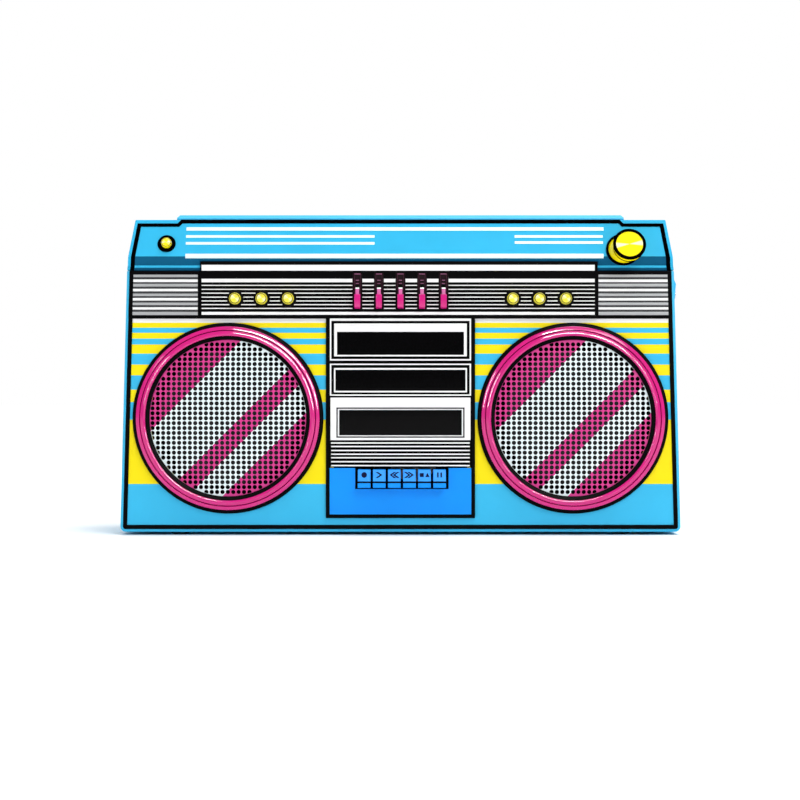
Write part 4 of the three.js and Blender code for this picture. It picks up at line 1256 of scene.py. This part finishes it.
carry("jack_plate", case_blue, 0.9)
JACK_TILT = math.atan2(300.0 - 297.3, 272.0 - 240.0)
SOCKET_XS = (-7, 7)
socket_holes = [circle(x, 0, 3.7, 40) for x in SOCKET_XS]
inset = [plate(centred(11.5, -7.5, 7.5, 2.0), socket_holes, -0.5, 0.35, 0.2)]
inset += [lathe([(3.5, 0.2), (3.5, 1.9), (0, 1.9)], x, 0, 48) for x in SOCKET_XS]
sockets = [ring_shape(3.3, 5.2, 0.2, -1.0, x, 0, 0.3, 48) for x in SOCKET_XS]
jack_place = (
    Matrix.Translation((298.98, -31, 260))
    @ Matrix.Rotation(JACK_TILT, 4, "Y")
    @ Matrix.Rotation(math.pi / 2, 4, "Z")
)
piece("jack_inset", moved(joined(*inset), jack_place), black)
piece("jack_sockets", moved(joined(*sockets), jack_place), chrome)

# ------------------------------------------------------------------ antenna

AERIAL_Y, AERIAL_Z, PIVOT_X = 76.0, 334.5, 262.0
carry("antenna_swivel", chrome, 0.35)


def aerial(profile, segments=40, closed=True):
    """A profile of (radius, x) points, turned about the stowed antenna's axis."""
    return along_x(lathe(profile, segments=segments, closed=closed), AERIAL_Y, AERIAL_Z)


tube = [(2.95, 252), (4.0, 252), (4.0, -46.2), (3.8, -46.9), (3.4, -47), (3.0, -46.6)]
tube = [aerial(tube)]
for x in (248.2, -43.0):
    tube.append(aerial([(3.9, x - 2.4), (4.35, x - 2.2), (4.35, x + 2.2), (3.9, x + 2.4)]))
piece("antenna_tube_chrome", tube, chrome, "antenna_tube", ["antenna_tube"])
neck = rectangle(AERIAL_Y - 5.5, AERIAL_Y + 5.5, AERIAL_Z - 4.0, AERIAL_Z + 4.0, 1.2)
knuckle = [bar(neck, 249.2, 255.4)]
arch = [math.pi * k / 16 for k in range(17)]
cheek = [(PIVOT_X + 4 * math.sin(a), AERIAL_Z - 4 * math.cos(a)) for a in arch]
cheek = [(254.8, AERIAL_Z - 4), *cheek, (254.8, AERIAL_Z + 4)]
for ends in ((-5.4, -2.6), (2.6, 5.4)):
    knuckle.append(slab(cheek, AERIAL_Y + ends[0], AERIAL_Y + ends[1]))
piece("antenna_knuckle", knuckle, chrome, "antenna_tube", bevel=0.35)
pivot = mirrored([(69.9, 0), (70.0, 2.2), (70.5, 2.6), (70.8, 2.6), (70.8, 1.4)], AERIAL_Y)
pivot = lathe([(r, y) for y, r in pivot], PIVOT_X, AERIAL_Z, 32)
piece("antenna_pivot", pivot, steel, "antenna_tube")
inner_tube = aerial([(2.1, 246), (2.9, 246), (2.9, -48.6), (2.7, -49.0), (2.1, -49.0)], 32)
piece("antenna_middle_chrome", inner_tube, chrome, "antenna_middle", ["antenna_middle"])
tip = [
    (0, 237), (1.5, 236.6), (1.5, -50), (2.6, -50), (3.6, -50.4), (4.0, -51.4), (4.0, -54.6),
    (3.6, -55.6), (2.6, -56), (0, -56),
]
tip = aerial(tip, 32, closed=False)
piece("antenna_tip_chrome", tip, chrome, "antenna_tip", ["antenna_tip"])
clip = [(70.5, 325.8), (70.5, 333.5), (71.4, 334.8), (72.0, 334.5), (72.0, 330.6)]
piece("antenna_rest", bar(mirrored(clip, AERIAL_Y), -36, -24), case_blue, bevel=0.35, segments=2)

# ------------------------------------------------------------------ floor, light and camera

FLOOR_HALF, FLOOR_Z = 60.0, -0.0001  # in metres
floor_white = surface(
    "floor_white", "white", srgb(254, 254, 254), 0.85, specular=0.1, cloud=0.004, grain=0.02
)
mesh = bpy.data.meshes.new("floor")
corners = rectangle(-FLOOR_HALF, FLOOR_HALF, -FLOOR_HALF, FLOOR_HALF)
mesh.from_pydata([(x, y, FLOOR_Z) for x, y in corners], [], [[0, 1, 2, 3]])
mesh.shade_smooth()
mesh.materials.append(floor_white)
floor = bpy.data.objects.new("floor", mesh)
scene.collection.objects.link(floor)
floor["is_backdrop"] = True


def add_light(name, kind, energy, towards, place=(0, 0, 0)):
    made = bpy.data.objects.new(name, bpy.data.lights.new(name, kind))
    made.data.energy = energy
    made.location = place
    made.rotation_euler = Vector(towards).to_track_quat("-Z", "Y").to_euler()
    scene.collection.objects.link(made)
    return made


def lamp(name, place, aim, size, watts):
    made = add_light(name, "AREA", watts, Vector(aim) - Vector(place), place)
    made.data.shape = "RECTANGLE"
    made.data.size, made.data.size_y = size
    return made


lamp("key_light", (0.9, -1.7, 1.75), (0, 0, 0.15), (1.3, 0.6), 19)
# Long thin lamps that show only in gloss stand in an arc round the camera. They draw the pale arcs
# on the speaker rings.
ARC_CENTRE, ARC_RADIUS, ARC_BACK = Vector((0, 0, 0.15)), 1.84, -1.7
for k, (azimuth, watts) in enumerate(((84, 30), (52, 30), (20, 30), (158, 14))):
    a = math.radians(azimuth)
    out = Vector((ARC_RADIUS * math.cos(a), ARC_BACK, ARC_RADIUS * math.sin(a)))
    along, back = Vector((-math.sin(a), 0, math.cos(a))), out.normalized()
    arc = lamp(f"arc_light_{k}", ARC_CENTRE + out, ARC_CENTRE, (0.95, 0.12), watts)
    arc.rotation_euler = Matrix((along, back.cross(along), back)).transposed().to_euler()
    arc.visible_diffuse = False
lamp("fill_light", (-1.9, -1.6, 0.9), (0, 0, 0.15), (0.3, 1.1), 5)
lamp("back_light", (-0.7, 1.6, 1.2), (0, 0, 0.2), (1.6, 1.0), 8)
add_light("soft_sun", "SUN", 2.6, (-0.2, 0.04, -1.0)).data.angle = math.radians(40)

# The backdrop is white where it is seen, and a dimmer light where it lights the object.
world = bpy.data.worlds.new("studio")
world.use_nodes = True
sky_tree = world.node_tree
seen = add_node(sky_tree, "ShaderNodeLightPath").outputs["Is Camera Ray"]
strength = maths(sky_tree, "MULTIPLY_ADD", seen, 0.73, 0.27)
sky_tree.links.new(strength, sky_tree.nodes["Background"].inputs["Strength"])
sky_tree.nodes["Background"].inputs["Color"].default_value = (1.0, 1.0, 1.0, 1.0)
scene.world = world
scene.view_settings.view_transform = "Standard"

# The picture is a flat front view, so the camera faces the front squarely from about 2 m.
camera_data = bpy.data.cameras.new("camera")
camera_data.lens = 79.2
camera_data.sensor_width = 36.0
camera_data.clip_end = 50.0
camera = bpy.data.objects.new("camera", camera_data)
camera.location = (-0.0005, -1.962, 0.1456)
camera.rotation_euler = (math.pi / 2, 0, 0)
scene.collection.objects.link(camera)
scene.camera = camera

low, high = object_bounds()
